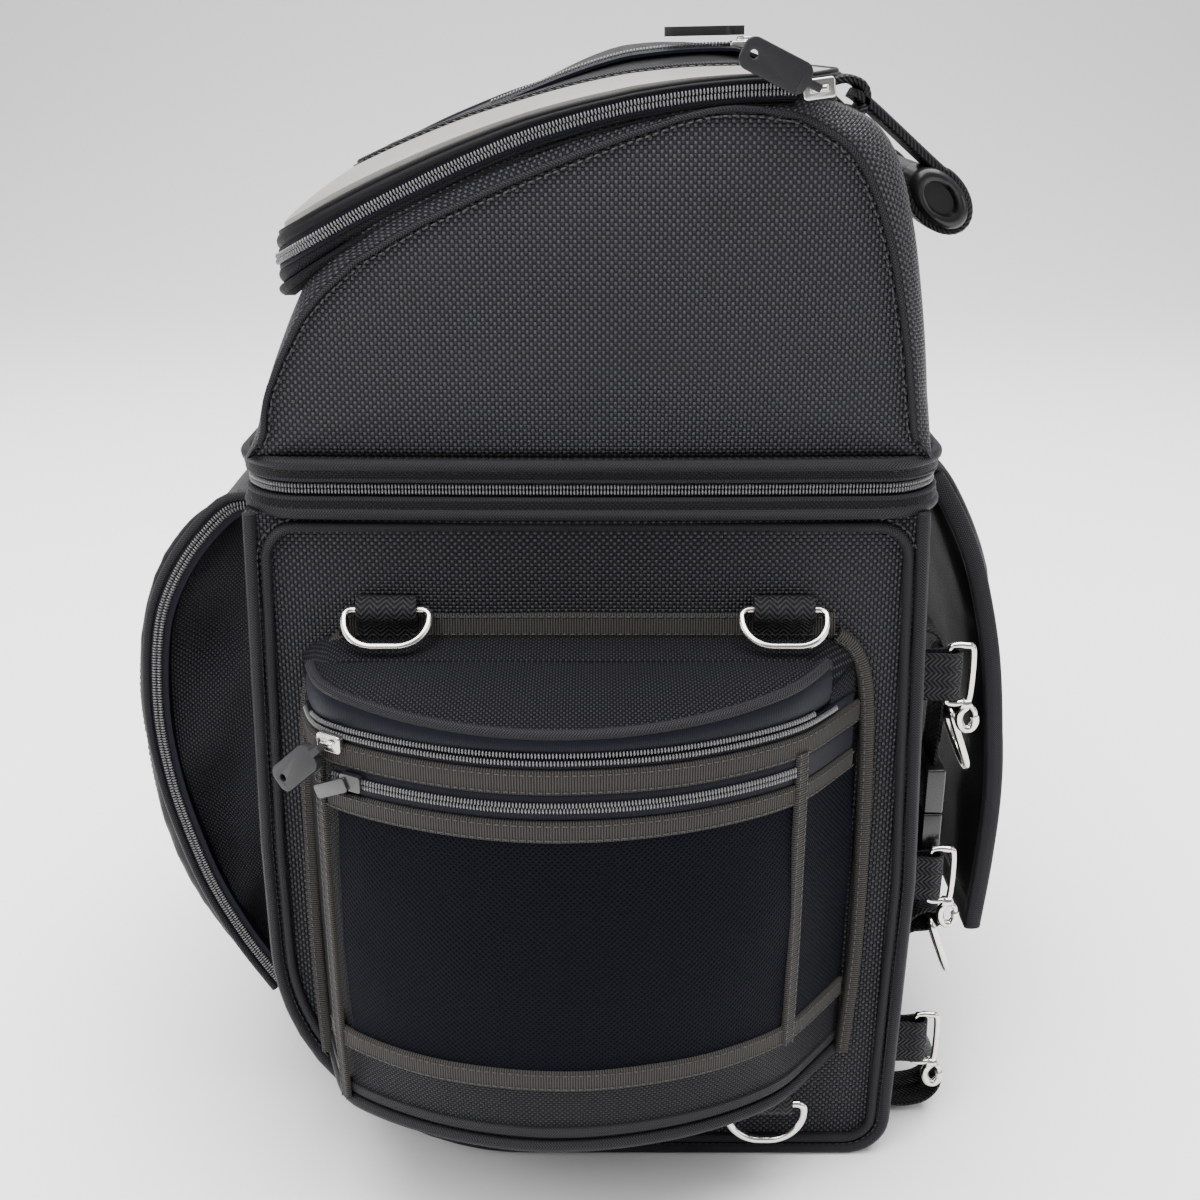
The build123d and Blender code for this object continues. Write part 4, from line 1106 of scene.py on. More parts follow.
@dataclass
class UpperCase:
    """Upper half: side panels inside a curved seam, a rounded gusset, and the front and back walls."""

    centre: tuple[float, float] = (5.0, 398.0)
    sag: float = 4.0
    roll: float = 20.0
    thick: float = 4.0

    def __post_init__(self) -> None:
        """Lays out the outline, the seam and how far the edge rolls over at each point."""
        lid_x = np.linspace(-103, 86, 14)
        lid_line = [(x, float(SIZES.seam(x, -3.8))) for x in lid_x]
        rim = [(-139.0, 346), (-134.5, 356), (-130, 372), (-122, 393), (-113, 413), (-108, 423)]
        fall = [(97, 479.5), (109, 474), (119, 461), (125.5, 440), (130, 418), (134.5, 388), (137.5, 358), (138, 346)]
        self.outline = resample(smooth_path(rim + lid_line + fall, 3.0), 5.0)
        base = resample(np.array([(138, 346), (-139, 346)], float), 5.0)[1:-1]
        self.ring = np.vstack([self.outline, base])
        seam = smooth_path(
            [(-132, 344), (-128, 370), (-112, 402), (-94, 419), (-64, 438), (-11, 460.5), (38, 477), (60, 479.5),
             (78, 476), (96, 466), (109, 446), (117, 422), (122.5, 396), (127, 370), (130, 344)],
            3.0,
        )
        self.seam_share = self._shares(seam)
        x, z = self.ring[:, 0], self.ring[:, 1]
        walls = ((x < -104) & (z > 351)) | ((x > 92) & (z > 351))
        raw = np.where(walls, self.roll, np.where(z < 351, 1.0, 4.0))
        kernel = np.ones(7) / 7
        self.rolls = np.convolve(np.concatenate([raw[-3:], raw, raw[:3]]), kernel, "valid")

    def _shares(self, seam: Array) -> Array:
        """Where the seam lies on each ray from the centre to the outline."""
        hub = np.array(self.centre)
        bearing = np.arctan2(seam[:, 1] - hub[1], seam[:, 0] - hub[0])
        reach = np.linalg.norm(seam - hub, axis=1)
        shares = np.ones(len(self.ring))
        for i, spot in enumerate(self.ring):
            ray = spot - hub
            angle = math.atan2(ray[1], ray[0])
            gap = np.abs((bearing - angle + math.pi) % (2 * math.pi) - math.pi)
            if gap.min() < 0.05:
                shares[i] = min(0.985, reach[gap.argmin()] / np.linalg.norm(ray))
        soft = np.convolve(np.concatenate([shares[-2:], shares, shares[:2]]), np.ones(5) / 5, "valid")
        low = self.ring[:, 1] < 347
        return np.where(low, 0.985, np.minimum(soft, 0.985))

    def _height(self, x: float, z: float, share: float, side: int) -> float:
        """How far the panel stands proud at a place."""
        dent = 1.3 * waves((x, 0, z), 60, 31.0 + side) + 0.5 * waves((x, 0, z), 22, 41.0 + side)
        return self.sag * (1 - share**3) + dent * (1 - share**5) + SIZES.bow(x, z)

    def build(self) -> None:
        """Makes and dresses every piece."""
        for side in (NEAR, FAR):
            self._panel(side)
            self._edge(side)
        self._walls()
        coat("divider_panel", BOARD)

    def _panel(self, side: int) -> None:
        """Woven panel inside the seam."""
        count = len(self.ring)
        spots, share = star_rings(self.ring, self.centre, np.zeros(count), self.seam_share, 24)
        front = np.zeros((*spots.shape[:2], 3))
        for i in range(count):
            for j in range(spots.shape[1]):
                x, z = spots[i, j]
                welt = 1.3 * (share[i, j] / max(self.seam_share[i], 0.01)) ** 40
                front[i, j] = (x, side * (SIZES.half_width + self._height(x, z, share[i, j], side) - welt), z)
        back = front.copy()
        back[:, :, 1] = side * (SIZES.half_width - self.thick)
        shell = slab(front, back, closed_uv(spots), wrap=True)
        piece(f"upper_panel_{word(side)}", shell, BALLISTIC, "upper_case", f"upper_side_{word(side)}")

    def _edge(self, side: int) -> None:
        """Gusset between the seam and the outline, which rolls over towards the walls."""
        count = len(self.ring)
        spots, share = star_rings(self.ring, self.centre, self.seam_share, np.ones(count), 9)
        front, back, uv = blank(*spots.shape[:2])
        run = np.arange(count) * 5.0
        for i in range(count):
            for j in range(spots.shape[1]):
                x, z = spots[i, j]
                over = j / (spots.shape[1] - 1)
                drop = self.rolls[i] * (1 - math.sqrt(max(0.0, 1 - over**2.4)))
                rise = self._height(x, z, share[i, j], side) + 0.8 * math.sin(math.pi * min(1.0, over * 2.2))
                front[i, j] = (x, side * (SIZES.half_width + rise - drop), z)
                inner = np.array(self.centre) + (spots[i, j] - self.centre) * 0.97
                back[i, j] = (inner[0], side * (SIZES.half_width - self.thick - drop), inner[1])
        uv[:, :, 0] = run[:, None]
        uv[:, 1:, 1] = np.cumsum(np.linalg.norm(np.diff(front, axis=1), axis=2), axis=1)
        closing = np.concatenate([uv, uv[:1] + (5.0 * count, 0.0)])
        shell = slab(front, back, closing, wrap=True)
        piece(f"upper_edge_{word(side)}", shell, BALLISTIC, "upper_case")
        steps = [i for i in range(count) if self.ring[i, 1] > 348]
        seam, outs = [], []
        for i in steps:
            x, z = spots[i, 0]
            seam.append((x, side * (SIZES.half_width + self._height(x, z, share[i, 0], side) - 0.4), z))
            outs.append((0.0, float(side), 0.0))
        path, away = np.array(seam), np.array(outs)
        cord = sweep(path, away, cord_section(1.3))
        piece(f"upper_seam_{word(side)}", cord, PIPING, "upper_case", *(["upper_piping"] if side == NEAR else []))
        hub = np.array((self.centre[0], path[0, 1], self.centre[1]))
        rows = [(path - unit(path - hub) * 2.8 + (0.0, side * 1.3, 0.0), away)]
        ROWS.stitches(f"upper_stitches_{word(side)}", rows, "upper_case")

    def _walls(self) -> None:
        """Front and back walls between the two rolled edges."""
        x = self.outline[:, 0]
        front_end = int(np.argmax(x > -106)) + 1
        back_start = int(np.argmax(x > 84)) - 1
        spans = (
            ("upper_front_wall", 0, front_end, "upper_front"),
            ("upper_back_wall", back_start, len(x), "upper_back"),
        )
        rows = np.linspace(-1, 1, 45)
        for name, start, stop, node in spans:
            line = self.outline[start:stop]
            inward = unit(np.array(self.centre) - line)
            front, back, uv = blank(len(line), len(rows))
            for i, spot in enumerate(line):
                reach = SIZES.half_width - self.rolls[start + i]
                for j, share in enumerate(rows):
                    y = share * reach
                    crown = (2.0 * (1 - share**4) + 1.5 * waves((spot[0], y, spot[1]), 55, 51.0)) * (1 - share**8)
                    off = spot - inward[i] * crown
                    front[i, j] = (off[0], y, off[1])
                    inner = spot + inward[i] * self.thick
                    back[i, j] = (inner[0], y, inner[1])
                    uv[i, j] = (i * 5.0, y)
            piece(name, slab(front, back, uv), GUSSET_CLOTH, "upper_case", node)


@dataclass
class Lid:
    """Domed lid: its zip round three sides, a padded edge, the reflective band and the padded top."""

    front: float = -121.0
    back: float = 93.0
    half: float = 167.0
    corner: float = 24.0
    band_share: float = 0.76
    crown: float = 9.5
    hinge_from: float = 74.0

    def build(self) -> None:
        """Makes and dresses every piece."""
        self._zip()
        self._edge()
        self._hinge_cloth()
        self._top()
        self._pad_zip()

    def _rim(self, x: Array) -> Array:
        """Height of the lid's upper edge over its zip."""
        return np.interp(x, (-125, -112, -67, -23, 7, 84), (10.5, 9.6, 8.2, 6.2, 5.2, 5.0))

    def _shoulder(self, x: float) -> float:
        """How far the reflective band climbs from the edge to the padded top."""
        return float(np.interp(x, (-121, -96, -48, -25, 8, 40, 63, 86), (8, 9.4, 7.8, 6.6, 6.2, 4.6, 3.2, 2.4)))

    def _plan(self, grow: float, step: float = 5.0) -> Array:
        """Closed rounded plan of the lid."""
        front, back, half = self.front - grow, self.back + grow, self.half + grow
        corner = self.corner + grow
        return rounded_path(
            [(back, -half, corner), (front, -half, corner), (front, half, corner), (back, half, corner)], step
        )

    def _three_sides(self, grow: float, above: float, rear: float = 76.0) -> tuple[Array, Array]:
        """Line round the near side, the front and the far side of the lid.

        Args:
            grow: how far outside the plan it runs.
            above: height over the lid's zip.
            rear: X at which it starts and ends.

        Returns:
            Its points and the directions away from the bag.
        """
        front, half, corner = self.front - grow, self.half + grow, self.corner
        corners = [(rear, -half, 0), (front, -half, corner), (front, half, corner), (rear, half, 0)]
        flat = rounded_path(corners, 4.0, False)
        run = directions(flat, False)
        outs = np.column_stack([-run[:, 1], run[:, 0], np.zeros(len(flat))])
        path = np.column_stack([flat, SIZES.seam(flat[:, 0], above)])
        return path, outs if outs[0, 1] < 0 else -outs

    def _ribbon(self, low: Array, high: Array, outs: Array, bulge: float, wrap: bool = False) -> Shell:
        """Rolled strip of cloth between two lines, swelling away from the bag between them."""
        share = np.linspace(0.0, 1.0, 9)
        front = low[:, None] * (1 - share[:, None]) + high[:, None] * share[:, None]
        front = front + outs[:, None] * (bulge * np.sin(np.pi * share) ** 0.7)[:, None]
        back = front - outs[:, None] * 4.0
        run = np.arange(len(low) + 1)[:, None] * 4.0 * np.ones(len(share))
        across = np.ones(len(low) + 1)[:, None] * share * 8.0
        uv = np.stack([run, across], axis=-1)
        return slab(front, back, uv if wrap else uv[:-1], wrap)

    def _zip(self) -> None:
        """Tapes and coil halves on the case and on the lid, and the case's rolled lip below them."""
        for body, sign, stands_for in (("upper_case", -1, ()), ("lid", 1, ("lid_zips",))):
            half = "case" if sign < 0 else "lid"
            path, outs = self._three_sides(1.6, sign * 2.2)
            piece(f"{half}_zip_tape", sweep(path, outs, band_section(3.8, 0.8, 0.0, 3.0)), ZIP_TAPE, body, *stands_for)
            row, away = self._three_sides(1.6, sign * 1.1)
            ROWS.coil(f"{half}_zip_coil_painted_glints", [(row + away * 1.4, away)], body)
        high, outs = self._three_sides(1.2, -3.2)
        drop = np.interp(high[:, 0], (-123, -98, -45, 8, 60), (11.5, 8.5, 5.5, 4.0, 2.5))
        low = high - np.column_stack([np.zeros((len(high), 2)), drop])
        middle = low * 0.55 + high * 0.45
        rolls = [self._ribbon(middle, high, outs, 1.8), self._ribbon(low, middle, outs, 2.2)]
        piece("case_lip", Shell.join(rolls), GUSSET_CLOTH, "upper_case")

    def _edge(self) -> None:
        """Rolled black edging of the lid, with a fine bead where it meets the band."""
        flat = self._plan(1.2, 4.0)
        run = directions(flat, True)
        outs = np.column_stack([run[:, 1], -run[:, 0], np.zeros(len(flat))])
        if outs[np.argmax(flat[:, 0]), 0] < 0:
            outs = -outs
        low = np.column_stack([flat, SIZES.seam(flat[:, 0], 2.8)])
        high = np.column_stack([flat, SIZES.seam(flat[:, 0]) + self._rim(flat[:, 0]) - 0.4])
        roll = self._ribbon(low, high, outs, 2.0, True)
        bead = sweep(high - outs * 0.2, outs, cord_section(1.2), True)
        piece("lid_edge", Shell.join([roll, bead]), PADDED_CLOTH, "lid")

    def _hinge_cloth(self) -> None:
        """Cloth that closes the back of the lid, made as a fixed mesh tied to neither body."""
        flat = self._plan(0.2, 4.0)
        first = int(np.argmin(np.abs(flat[:, 0] - self.hinge_from) + np.where(flat[:, 1] < 0, 0, 1e4)))
        order = np.roll(flat, -first, axis=0)
        order = order if order[1, 0] > order[0, 0] else np.roll(order[::-1], 1, axis=0)
        flat = order[: int(np.argmax(order[1:, 0] < self.hinge_from - 0.5)) + 1]
        run = directions(flat, False)
        outs = np.column_stack([run[:, 1], -run[:, 0], np.zeros(len(flat))])
        if outs[len(outs) // 2, 0] < 0:
            outs = -outs
        heights = SIZES.seam(flat[:, 0])
        low, middle, high = (np.column_stack([flat, heights + rise]) for rise in (-10.5, -1.6, 5.0))
        rolls = [self._ribbon(middle, high, outs, 0.9), self._ribbon(low, middle, outs, 1.8)]
        cloth = mesh_object("lid_hinge_cloth", Shell.join(rolls))
        cloth.data.materials.append(WARDROBE.material(GUSSET_CLOTH))
        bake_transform(cloth)
        LOG.info("%s between upper_case and lid: %d faces", cloth.name, len(cloth.data.polygons))

    def _surface(self, x: float, y: float, share: float) -> float:
        """Height of the lid's top, crowned towards its middle."""
        over = min(1.0, max(0.0, (share - self.band_share) / (1.02 - self.band_share)))
        climb = self._shoulder(x) * math.sqrt(1 - over**2.2)
        base = float(SIZES.seam(x) + self._rim(x)) - 0.6
        reach = min(1.0, max(0.0, (x + 50) / 70))
        stand = self.crown * reach**2 * (3 - 2 * reach) * (1 - min(1.0, share / self.band_share) ** 6)
        return base + climb + stand + 0.6 * waves((x, y, 0), 60, 61.0) * (1 - over)

    def _region(self, low: float, high: float, rings: int, lift: float) -> tuple[Shell, Array]:
        """A ring or disc of the lid's top between two shares of the way out."""
        plan = self._plan(-0.3)
        hub = ((self.front + self.back) / 2, 0.0)
        count = len(plan)
        spots, share = star_rings(plan, hub, np.full(count, low), np.full(count, high), rings)
        front = np.zeros((*spots.shape[:2], 3))
        for i in range(count):
            for j in range(spots.shape[1]):
                x, y = spots[i, j]
                front[i, j] = (x, y, self._surface(x, y, share[i, j]) + lift)
        back = front.copy()
        back[:, :, 2] -= 3.0 + lift
        return slab(front, back, closed_uv(spots), wrap=True), front

    def _top(self) -> None:
        """Reflective band round the padded middle."""
        band, edge = self._region(self.band_share, 1.0, 12, 0.0)
        piece("lid_band", band, REFLECTIVE, "lid", "lid_border")
        middle, _ = self._region(0.0, self.band_share + 0.01, 30, 0.5)
        pad = piece("lid_top", middle, PADDED_CLOTH, "lid", "lid_pad", "lid_panel")
        rim = edge[:, 0]
        outs = np.tile((0.0, 0.0, 1.0), (len(rim), 1))
        piece("lid_top_cord", sweep(rim, outs, cord_section(1.2, 0.5), True), PIPING, "lid")
        seam = beside(edge[:, 1], outs, 0.0, 0.3, True)
        ROWS.stitches("lid_stitches", [seam], "lid")

    def _pad_zip(self) -> None:
        """Zip of the pocket in the padded top, along its near edge and back."""
        line = rounded_path([(-40, -108, 0), (72, -108, 22), (72, 60, 0)], 4.0, False)
        heights = [self._surface(x, y, self._share(x, y)) + 0.6 for x, y in line]
        path = np.column_stack([line, heights])
        outs = np.tile((0.0, 0.0, 1.0), (len(path), 1))
        tape = sweep(path, outs, band_section(20, 0.5, 0.4, 1.2))
        piece("top_zip_tape", tape, ZIP_TAPE, "lid")
        rows = [beside(path, outs, across, 1.4) for across in (-1.1, 1.1)]
        ROWS.coil("top_zip_coil_painted_glints", rows, "lid")

    def _share(self, x: float, y: float) -> float:
        """About how far from the middle to the edge a place lies."""
        centre, reach = (self.front + self.back) / 2, (self.back - self.front) / 2
        return max(abs(x - centre) / reach, abs(y) / self.half)


@dataclass
class SidePocket:
    """Bowed pocket on one side: woven wall, net panel, two zips, ribbed tapes and a hinged top."""

    side: int
    middle: float = -12.0
    radius: float = 166.0
    centre_y: float = 72.0
    half: float = 98.0
    wall_front: float = -122.0
    wall_back: float = 115.0
    base: float = 57.0
    seam: float = 247.0
    top: float = 271.0
    front_top: float = 256.0
    strip: float = 20.0

    def __post_init__(self) -> None:
        """Lays out the plan from the front edge, round the bow, to the back edge."""
        end_y = self.centre_y + math.sqrt(self.radius**2 - self.half**2)
        bow_x = np.linspace(-self.half, self.half, 60)
        bow = [(self.middle + x, self.centre_y + math.sqrt(self.radius**2 - x**2)) for x in bow_x]
        ends = [(self.wall_front, 170.0), *bow, (self.wall_back, 170.0)]
        line = resample(np.array(ends), 4.0)
        for _ in range(6):
            line[1:-1] = (line[:-2] + 2 * line[1:-1] + line[2:]) / 4
        self.plan = line
        run = directions(line, False)
        self.away = np.column_stack([-run[:, 1], run[:, 0]])
        if self.away[len(line) // 2, 1] < 0:
            self.away = -self.away
        self.end_y = end_y

    def build(self) -> None:
        """Makes and dresses every piece."""
        self._wall()
        self._net()
        self._tapes()
        self._zips()
        self._strip()
        self._lid()
        self._webbing()

    def _name(self, stem: str) -> str:
        """Name of a piece on this side."""
        return f"{stem}_{word(self.side)}"

    def _swell(self, x: float, z: float) -> float:
        """How far the wall bulges at a place."""
        up = (z - self.base) / (self.seam - self.base)
        across = 1 - min(1.0, abs(x - self.middle) / 125) ** 3
        puff = 2.2 * math.sin(math.pi * min(max(up, 0.0), 1.0)) * across
        return puff + 0.9 * waves((x, z, 0), 48, 71.0 + self.side) * across

    def _at(self, i: int, z: float, off: float = 0.0) -> Array:
        """Place on the wall at a plan point and a height, off its surface."""
        x, y = self.plan[i] + self.away[i] * (self._swell(self.plan[i, 0], z) + off)
        return np.array((x, self.side * y, z))

    def _line(self, z: float, off: float, low_x: float, high_x: float) -> tuple[Array, Array]:
        """Level line on the wall between two X places, and the directions away from it."""
        picks = [i for i in range(len(self.plan)) if low_x <= self.plan[i, 0] <= high_x]
        path = np.array([self._at(i, z, off) for i in picks])
        outs = np.array([(self.away[i, 0], self.side * self.away[i, 1], 0.0) for i in picks])
        return path, outs

    def _post(self, x: float, low_z: float, high_z: float, off: float) -> tuple[Array, Array]:
        """Upright line on the wall, and the directions away from it."""
        i = int(np.abs(self.plan[:, 0] - x).argmin())
        heights = np.arange(low_z, high_z + 0.1, 4.0)
        path = np.array([self._at(i, z, off) for z in heights])
        return path, np.tile((self.away[i, 0], self.side * self.away[i, 1], 0.0), (len(path), 1))

    def _wall(self) -> None:
        """Woven wall with its tucked foot, and the base under it."""
        heights = np.array([57.0, 58.5, 62, 67, 73, *np.linspace(80, 240, 34), 243.5, 246.6])
        count = len(self.plan)
        front, back, uv = blank(count, len(heights))
        for i in range(count):
            for j, z in enumerate(heights):
                tuck = -5.0 * max(0.0, 1 - (z - self.base) / 14) ** 2
                front[i, j] = self._at(i, z, tuck)
                back[i, j] = self._at(i, z, tuck - 2.6)
                uv[i, j] = (i * 4.0, z)
        parts = [slab(front, back, uv)]
        rim = self.plan - self.away * 3.0
        rows = np.linspace(0, 1, 10)
        floor = np.zeros((count, len(rows), 3))
        for i in range(count):
            for j, share in enumerate(rows):
                y = 170 + (rim[i, 1] - 170) * share
                floor[i, j] = (rim[i, 0], self.side * y, self.base)
        above = floor + (0.0, 0.0, 2.6)
        parts.append(slab(floor, above, floor[:, :, :2]))
        piece(self._name("pocket_wall"), Shell.join(parts), POCKET_CLOTH, "lower_case", self._name("side_pocket"))
        path = np.array([self._at(i, 62.0, -0.6) for i in range(count)])
        outs = np.column_stack([self.away[:, 0], self.side * self.away[:, 1], np.zeros(count)])
        top_path = np.array([self._at(i, 69.5, 0.2) for i in range(count)])
        cords = Shell.join([sweep(path, outs, cord_section(2.9)), sweep(top_path, outs, band_section(5, 0.7))])
        piece(self._name("pocket_cord"), cords, PIPING, "lower_case")

    def _net(self) -> None:
        """Net panel over the bow and round the rear end."""
        picks = [i for i in range(len(self.plan)) if -104 <= self.plan[i, 0] <= 113]
        heights = np.linspace(98, 216, 34)
        front, back, uv = blank(len(picks), len(heights))
        for a, i in enumerate(picks):
            for b, z in enumerate(heights):
                up = (z - 98) / 118
                slack = 1.6 * math.sin(math.pi * up) + 0.8 * waves((i * 4.0, z, 0), 34, 81.0)
                front[a, b] = self._at(i, z, 0.9 + max(0.0, slack))
                back[a, b] = self._at(i, z, -0.6)
                uv[a, b] = (i * 4.0, z)
        stands_for = ["mesh_panels"] if self.side == NEAR else []
        net = piece(self._name("net_panel"), slab(front, back, uv), NET, "lower_case", *stands_for)

    def _tapes(self) -> None:
        """Ribbed tapes: level ones, uprights, and the bindings where the pocket meets the case."""
        levels = ((237.0, 10.5, -119, 113), (216.0, 9.5, -107, 112), (98.0, 10.0, -112, 113))
        shells, rows = [], []
        for z, width, low_x, high_x in levels:
            path, outs = self._line(z, 1.6, low_x, high_x)
            shells.append(sweep(path, outs, band_section(width, 1.0)))
            rows += [beside(path, outs, sign * (width / 2 - 1.6), 1.15) for sign in (-1, 1)]
        for x, low_z, high_z, width in ((-107, 64, 238, 6.5), (85, 94, 236, 7.0)):
            path, outs = self._post(x, low_z, high_z, 2.4)
            shells.append(sweep(path, outs, band_section(width, 1.1)))
            rows += [beside(path, outs, sign * (width / 2 - 1.4), 1.2) for sign in (-1, 1)]
        for line in (
            [(-103, 270), (-112, 262), (-119, 246), (-122.5, 200), (-124, 120), (-123, 62)],
            [(103, 271), (111, 264), (116.5, 246), (119, 200), (120, 120), (117, 62)],
        ):
            flat = smooth_path(line, 4.0)
            path = in_side_plane(flat, self.side * 173.0)
            outs = facing(self.side, path)
            shells.append(sweep(path, outs, band_section(6.5, 2.4, 0.6, 3.0)))
            rows.append(beside(path, outs, 1.2, 2.9))
        piece(self._name("pocket_tapes"), Shell.join(shells), GROSGRAIN, "lower_case")
        ROWS.stitches(self._name("pocket_stitches"), rows, "lower_case")

    def _zips(self) -> None:
        """Main zip's lower half, and the whole zip of the net pocket."""
        path, outs = self._line(244.0, 0.4, -117, 112)
        tape = sweep(path, outs, band_section(5.4, 0.7, 0.0, 2.2))
        low_path, low_outs = self._line(226.8, 1.2, -104, 112)
        net_tape = sweep(low_path, low_outs, band_section(12, 0.7))
        stands_for = ["lower_case_zips"] if self.side == NEAR else []
        piece(self._name("pocket_zip_tapes"), Shell.join([tape, net_tape]), ZIP_TAPE, "lower_case", *stands_for)
        rows = [self._line(245.4, 2.0, -116, 100)]
        rows += [self._line(z, 2.7, -102, 82) for z in (225.7, 227.9)]
        ROWS.coil(self._name("pocket_coils"), rows, "lower_case")

    def _roof(self, y: float) -> float:
        """Height of the sloping top at a distance out."""
        return self.top - (self.top - self.front_top) * (y - 170) / 68

    def _strip(self) -> None:
        """Fixed strip of the top beside the case, with its ribbed tape."""
        columns = np.linspace(0, 1, 50)
        rows = np.linspace(0, 1, 6)
        front = np.zeros((len(columns), len(rows), 3))
        for i, share in enumerate(columns):
            for j, out in enumerate(rows):
                y = 170 + out * (self.strip - 0.3)
                low = self.wall_front + 12 * (y - 170) / (self.end_y - 170)
                high = self.wall_back - 29 * (y - 170) / (self.end_y - 170)
                x = low + (high - low) * share
                corner = 10 * max(0.0, 1 - min(share, 1 - share) * 14) ** 2
                front[i, j] = (x, self.side * y, self._roof(y) + 0.6 * math.sin(math.pi * out) - corner)
        back = front - (0.0, 0.0, 3.0)
        shells = [slab(front, back, front[:, :, :2])]
        for share in (0, -1):
            ends = front[share]
            low = ends.copy()
            low[:, 2] = self.seam - 3
            sheet = np.stack([ends, low], axis=0)
            inner = sheet + ((3.0 if share == 0 else -3.0), 0.0, 0.0)
            shells.append(slab(sheet, inner, sheet[:, :, 1:]))
        piece(self._name("pocket_strip"), Shell.join(shells), POCKET_CLOTH, "lower_case")
        line = in_side_plane(resample(np.array([(-100.0, 275), (102.0, 275)]), 5.0), self.side * 172.2)
        outs = np.tile((0.0, float(self.side), 0.25), (len(line), 1))
        tape = sweep(line, unit(outs), band_section(11, 1.2))
        piece(self._name("pocket_top_tape"), tape, GROSGRAIN, "lower_case")
        rows = [beside(line, unit(outs), sign * 3.6, 1.5) for sign in (-1, 1)]
        ROWS.stitches(self._name("pocket_top_stitches"), rows, "lower_case")

    def _lid(self) -> None:
        """Hinged top with its skirt, the zip's upper half and the piped front edge."""
        body = self._name("pocket_lid")
        start = 170 + self.strip + 0.6
        picks = [i for i in range(len(self.plan)) if self.plan[i, 1] >= start]
        rows = np.linspace(0, 1, 14)
        front = np.zeros((len(picks), len(rows), 3))
        for a, i in enumerate(picks):
            x, y_out = self.plan[i]
            for b, share in enumerate(rows):
                y = start + (y_out - 1.0 - start) * share
                puff = 2.4 * math.sin(math.pi * min(1.0, share)) * (1 - abs(x - self.middle) ** 3 / 110**3)
                dent = 0.5 * waves((x, y, 0), 25, 91.0)
                front[a, b] = (x, self.side * y, self._roof(y) + max(-1.0, puff + dent))
        back = front - (0.0, 0.0, 3.0)
        shells = [slab(front, back, front[:, :, :2])]
        piece(self._name("pocket_top"), Shell.join(shells), POCKET_CLOTH, body, body)
        heights = np.array([247.6, 249, 251, 253, 255, 256])
        skirt, inner, uv = blank(len(picks), len(heights))
        for a, i in enumerate(picks):
            x, y = self.plan[i]
            roof = self._roof(y)
            for b, z in enumerate(heights):
                level = 247.6 + (z - 247.6) * (roof - 247.6) / (256 - 247.6)
                bow = 2.2 * math.sin(math.pi * (level - 247.6) / max(roof - 247.6, 1)) ** 0.7
                spot = self.plan[i] + self.away[i] * (bow - 0.4)
                skirt[a, b] = (spot[0], self.side * spot[1], level)
                spot = self.plan[i] - self.away[i] * 3.2
                inner[a, b] = (spot[0], self.side * spot[1], level)
                uv[a, b] = (a * 4.0, level)
        piece(self._name("pocket_skirt"), slab(skirt, inner, uv), ZIP_TAPE, body)
        outs = np.array([(self.away[i, 0], self.side * self.away[i, 1], 0.0) for i in picks])
        edge = skirt[:, -1]
        piece(self._name("pocket_lid_cord"), sweep(edge, outs, cord_section(2.3, -0.4)), PIPING, body)
        tape = np.array([self._at(i, 249.7, -1.0) for i in picks])
        piece(self._name("pocket_lid_tape"), sweep(tape, outs, band_section(4.0, 0.8, 0.0, 1.5)), ZIP_TAPE, body)
        row = np.array([self._at(i, 248.3, 1.4) for i in picks])
        ROWS.coil(self._name("pocket_lid_coil"), [(row[2:-3], outs[2:-3])], body)

    def _webbing(self) -> None:
        """Loops of webbing that hold the D-rings, over the pocket and under it."""
        shells = []
        for x in (-84.0, 80.0):
            loop = [(171.4, 266), (171.6, 276), (172.0, 286.5), (175.4, 288), (178.6, 285), (178.4, 281),
                    (174.6, 276), (173.2, 266)]
            flat = smooth_path(loop, 1.5)
            shells.append(self._loop(flat, x, 25.0))
        under = [(199, 58), (197.2, 53), (198, 49), (200, 48.2), (202.3, 49.5), (202.6, 53), (201.5, 58)]
        shells.append(self._loop(smooth_path(under, 1.2), 79.0, 24.0))
        stands_for = ["ring_tabs"] if self.side == NEAR else []
        piece(self._name("ring_webbing"), Shell.join(shells), WEBBING, "lower_case", *stands_for)

    def _loop(self, flat: Array, x: float, width: float) -> Shell:
        """Webbing that runs in a Y-Z plane, centred on an X."""
        path = np.column_stack([np.full(len(flat), x), self.side * flat[:, 0], flat[:, 1]])
        run = directions(path, False)
        outs = unit(np.cross(run, np.tile((1.0, 0.0, 0.0), (len(path), 1))))
        half = width / 2
        section = np.array([(-half, -0.8), (-half, 0.8), (-4, 0.95), (4, 0.95), (half, 0.8), (half, -0.8)])
        return sweep(path, outs, section)


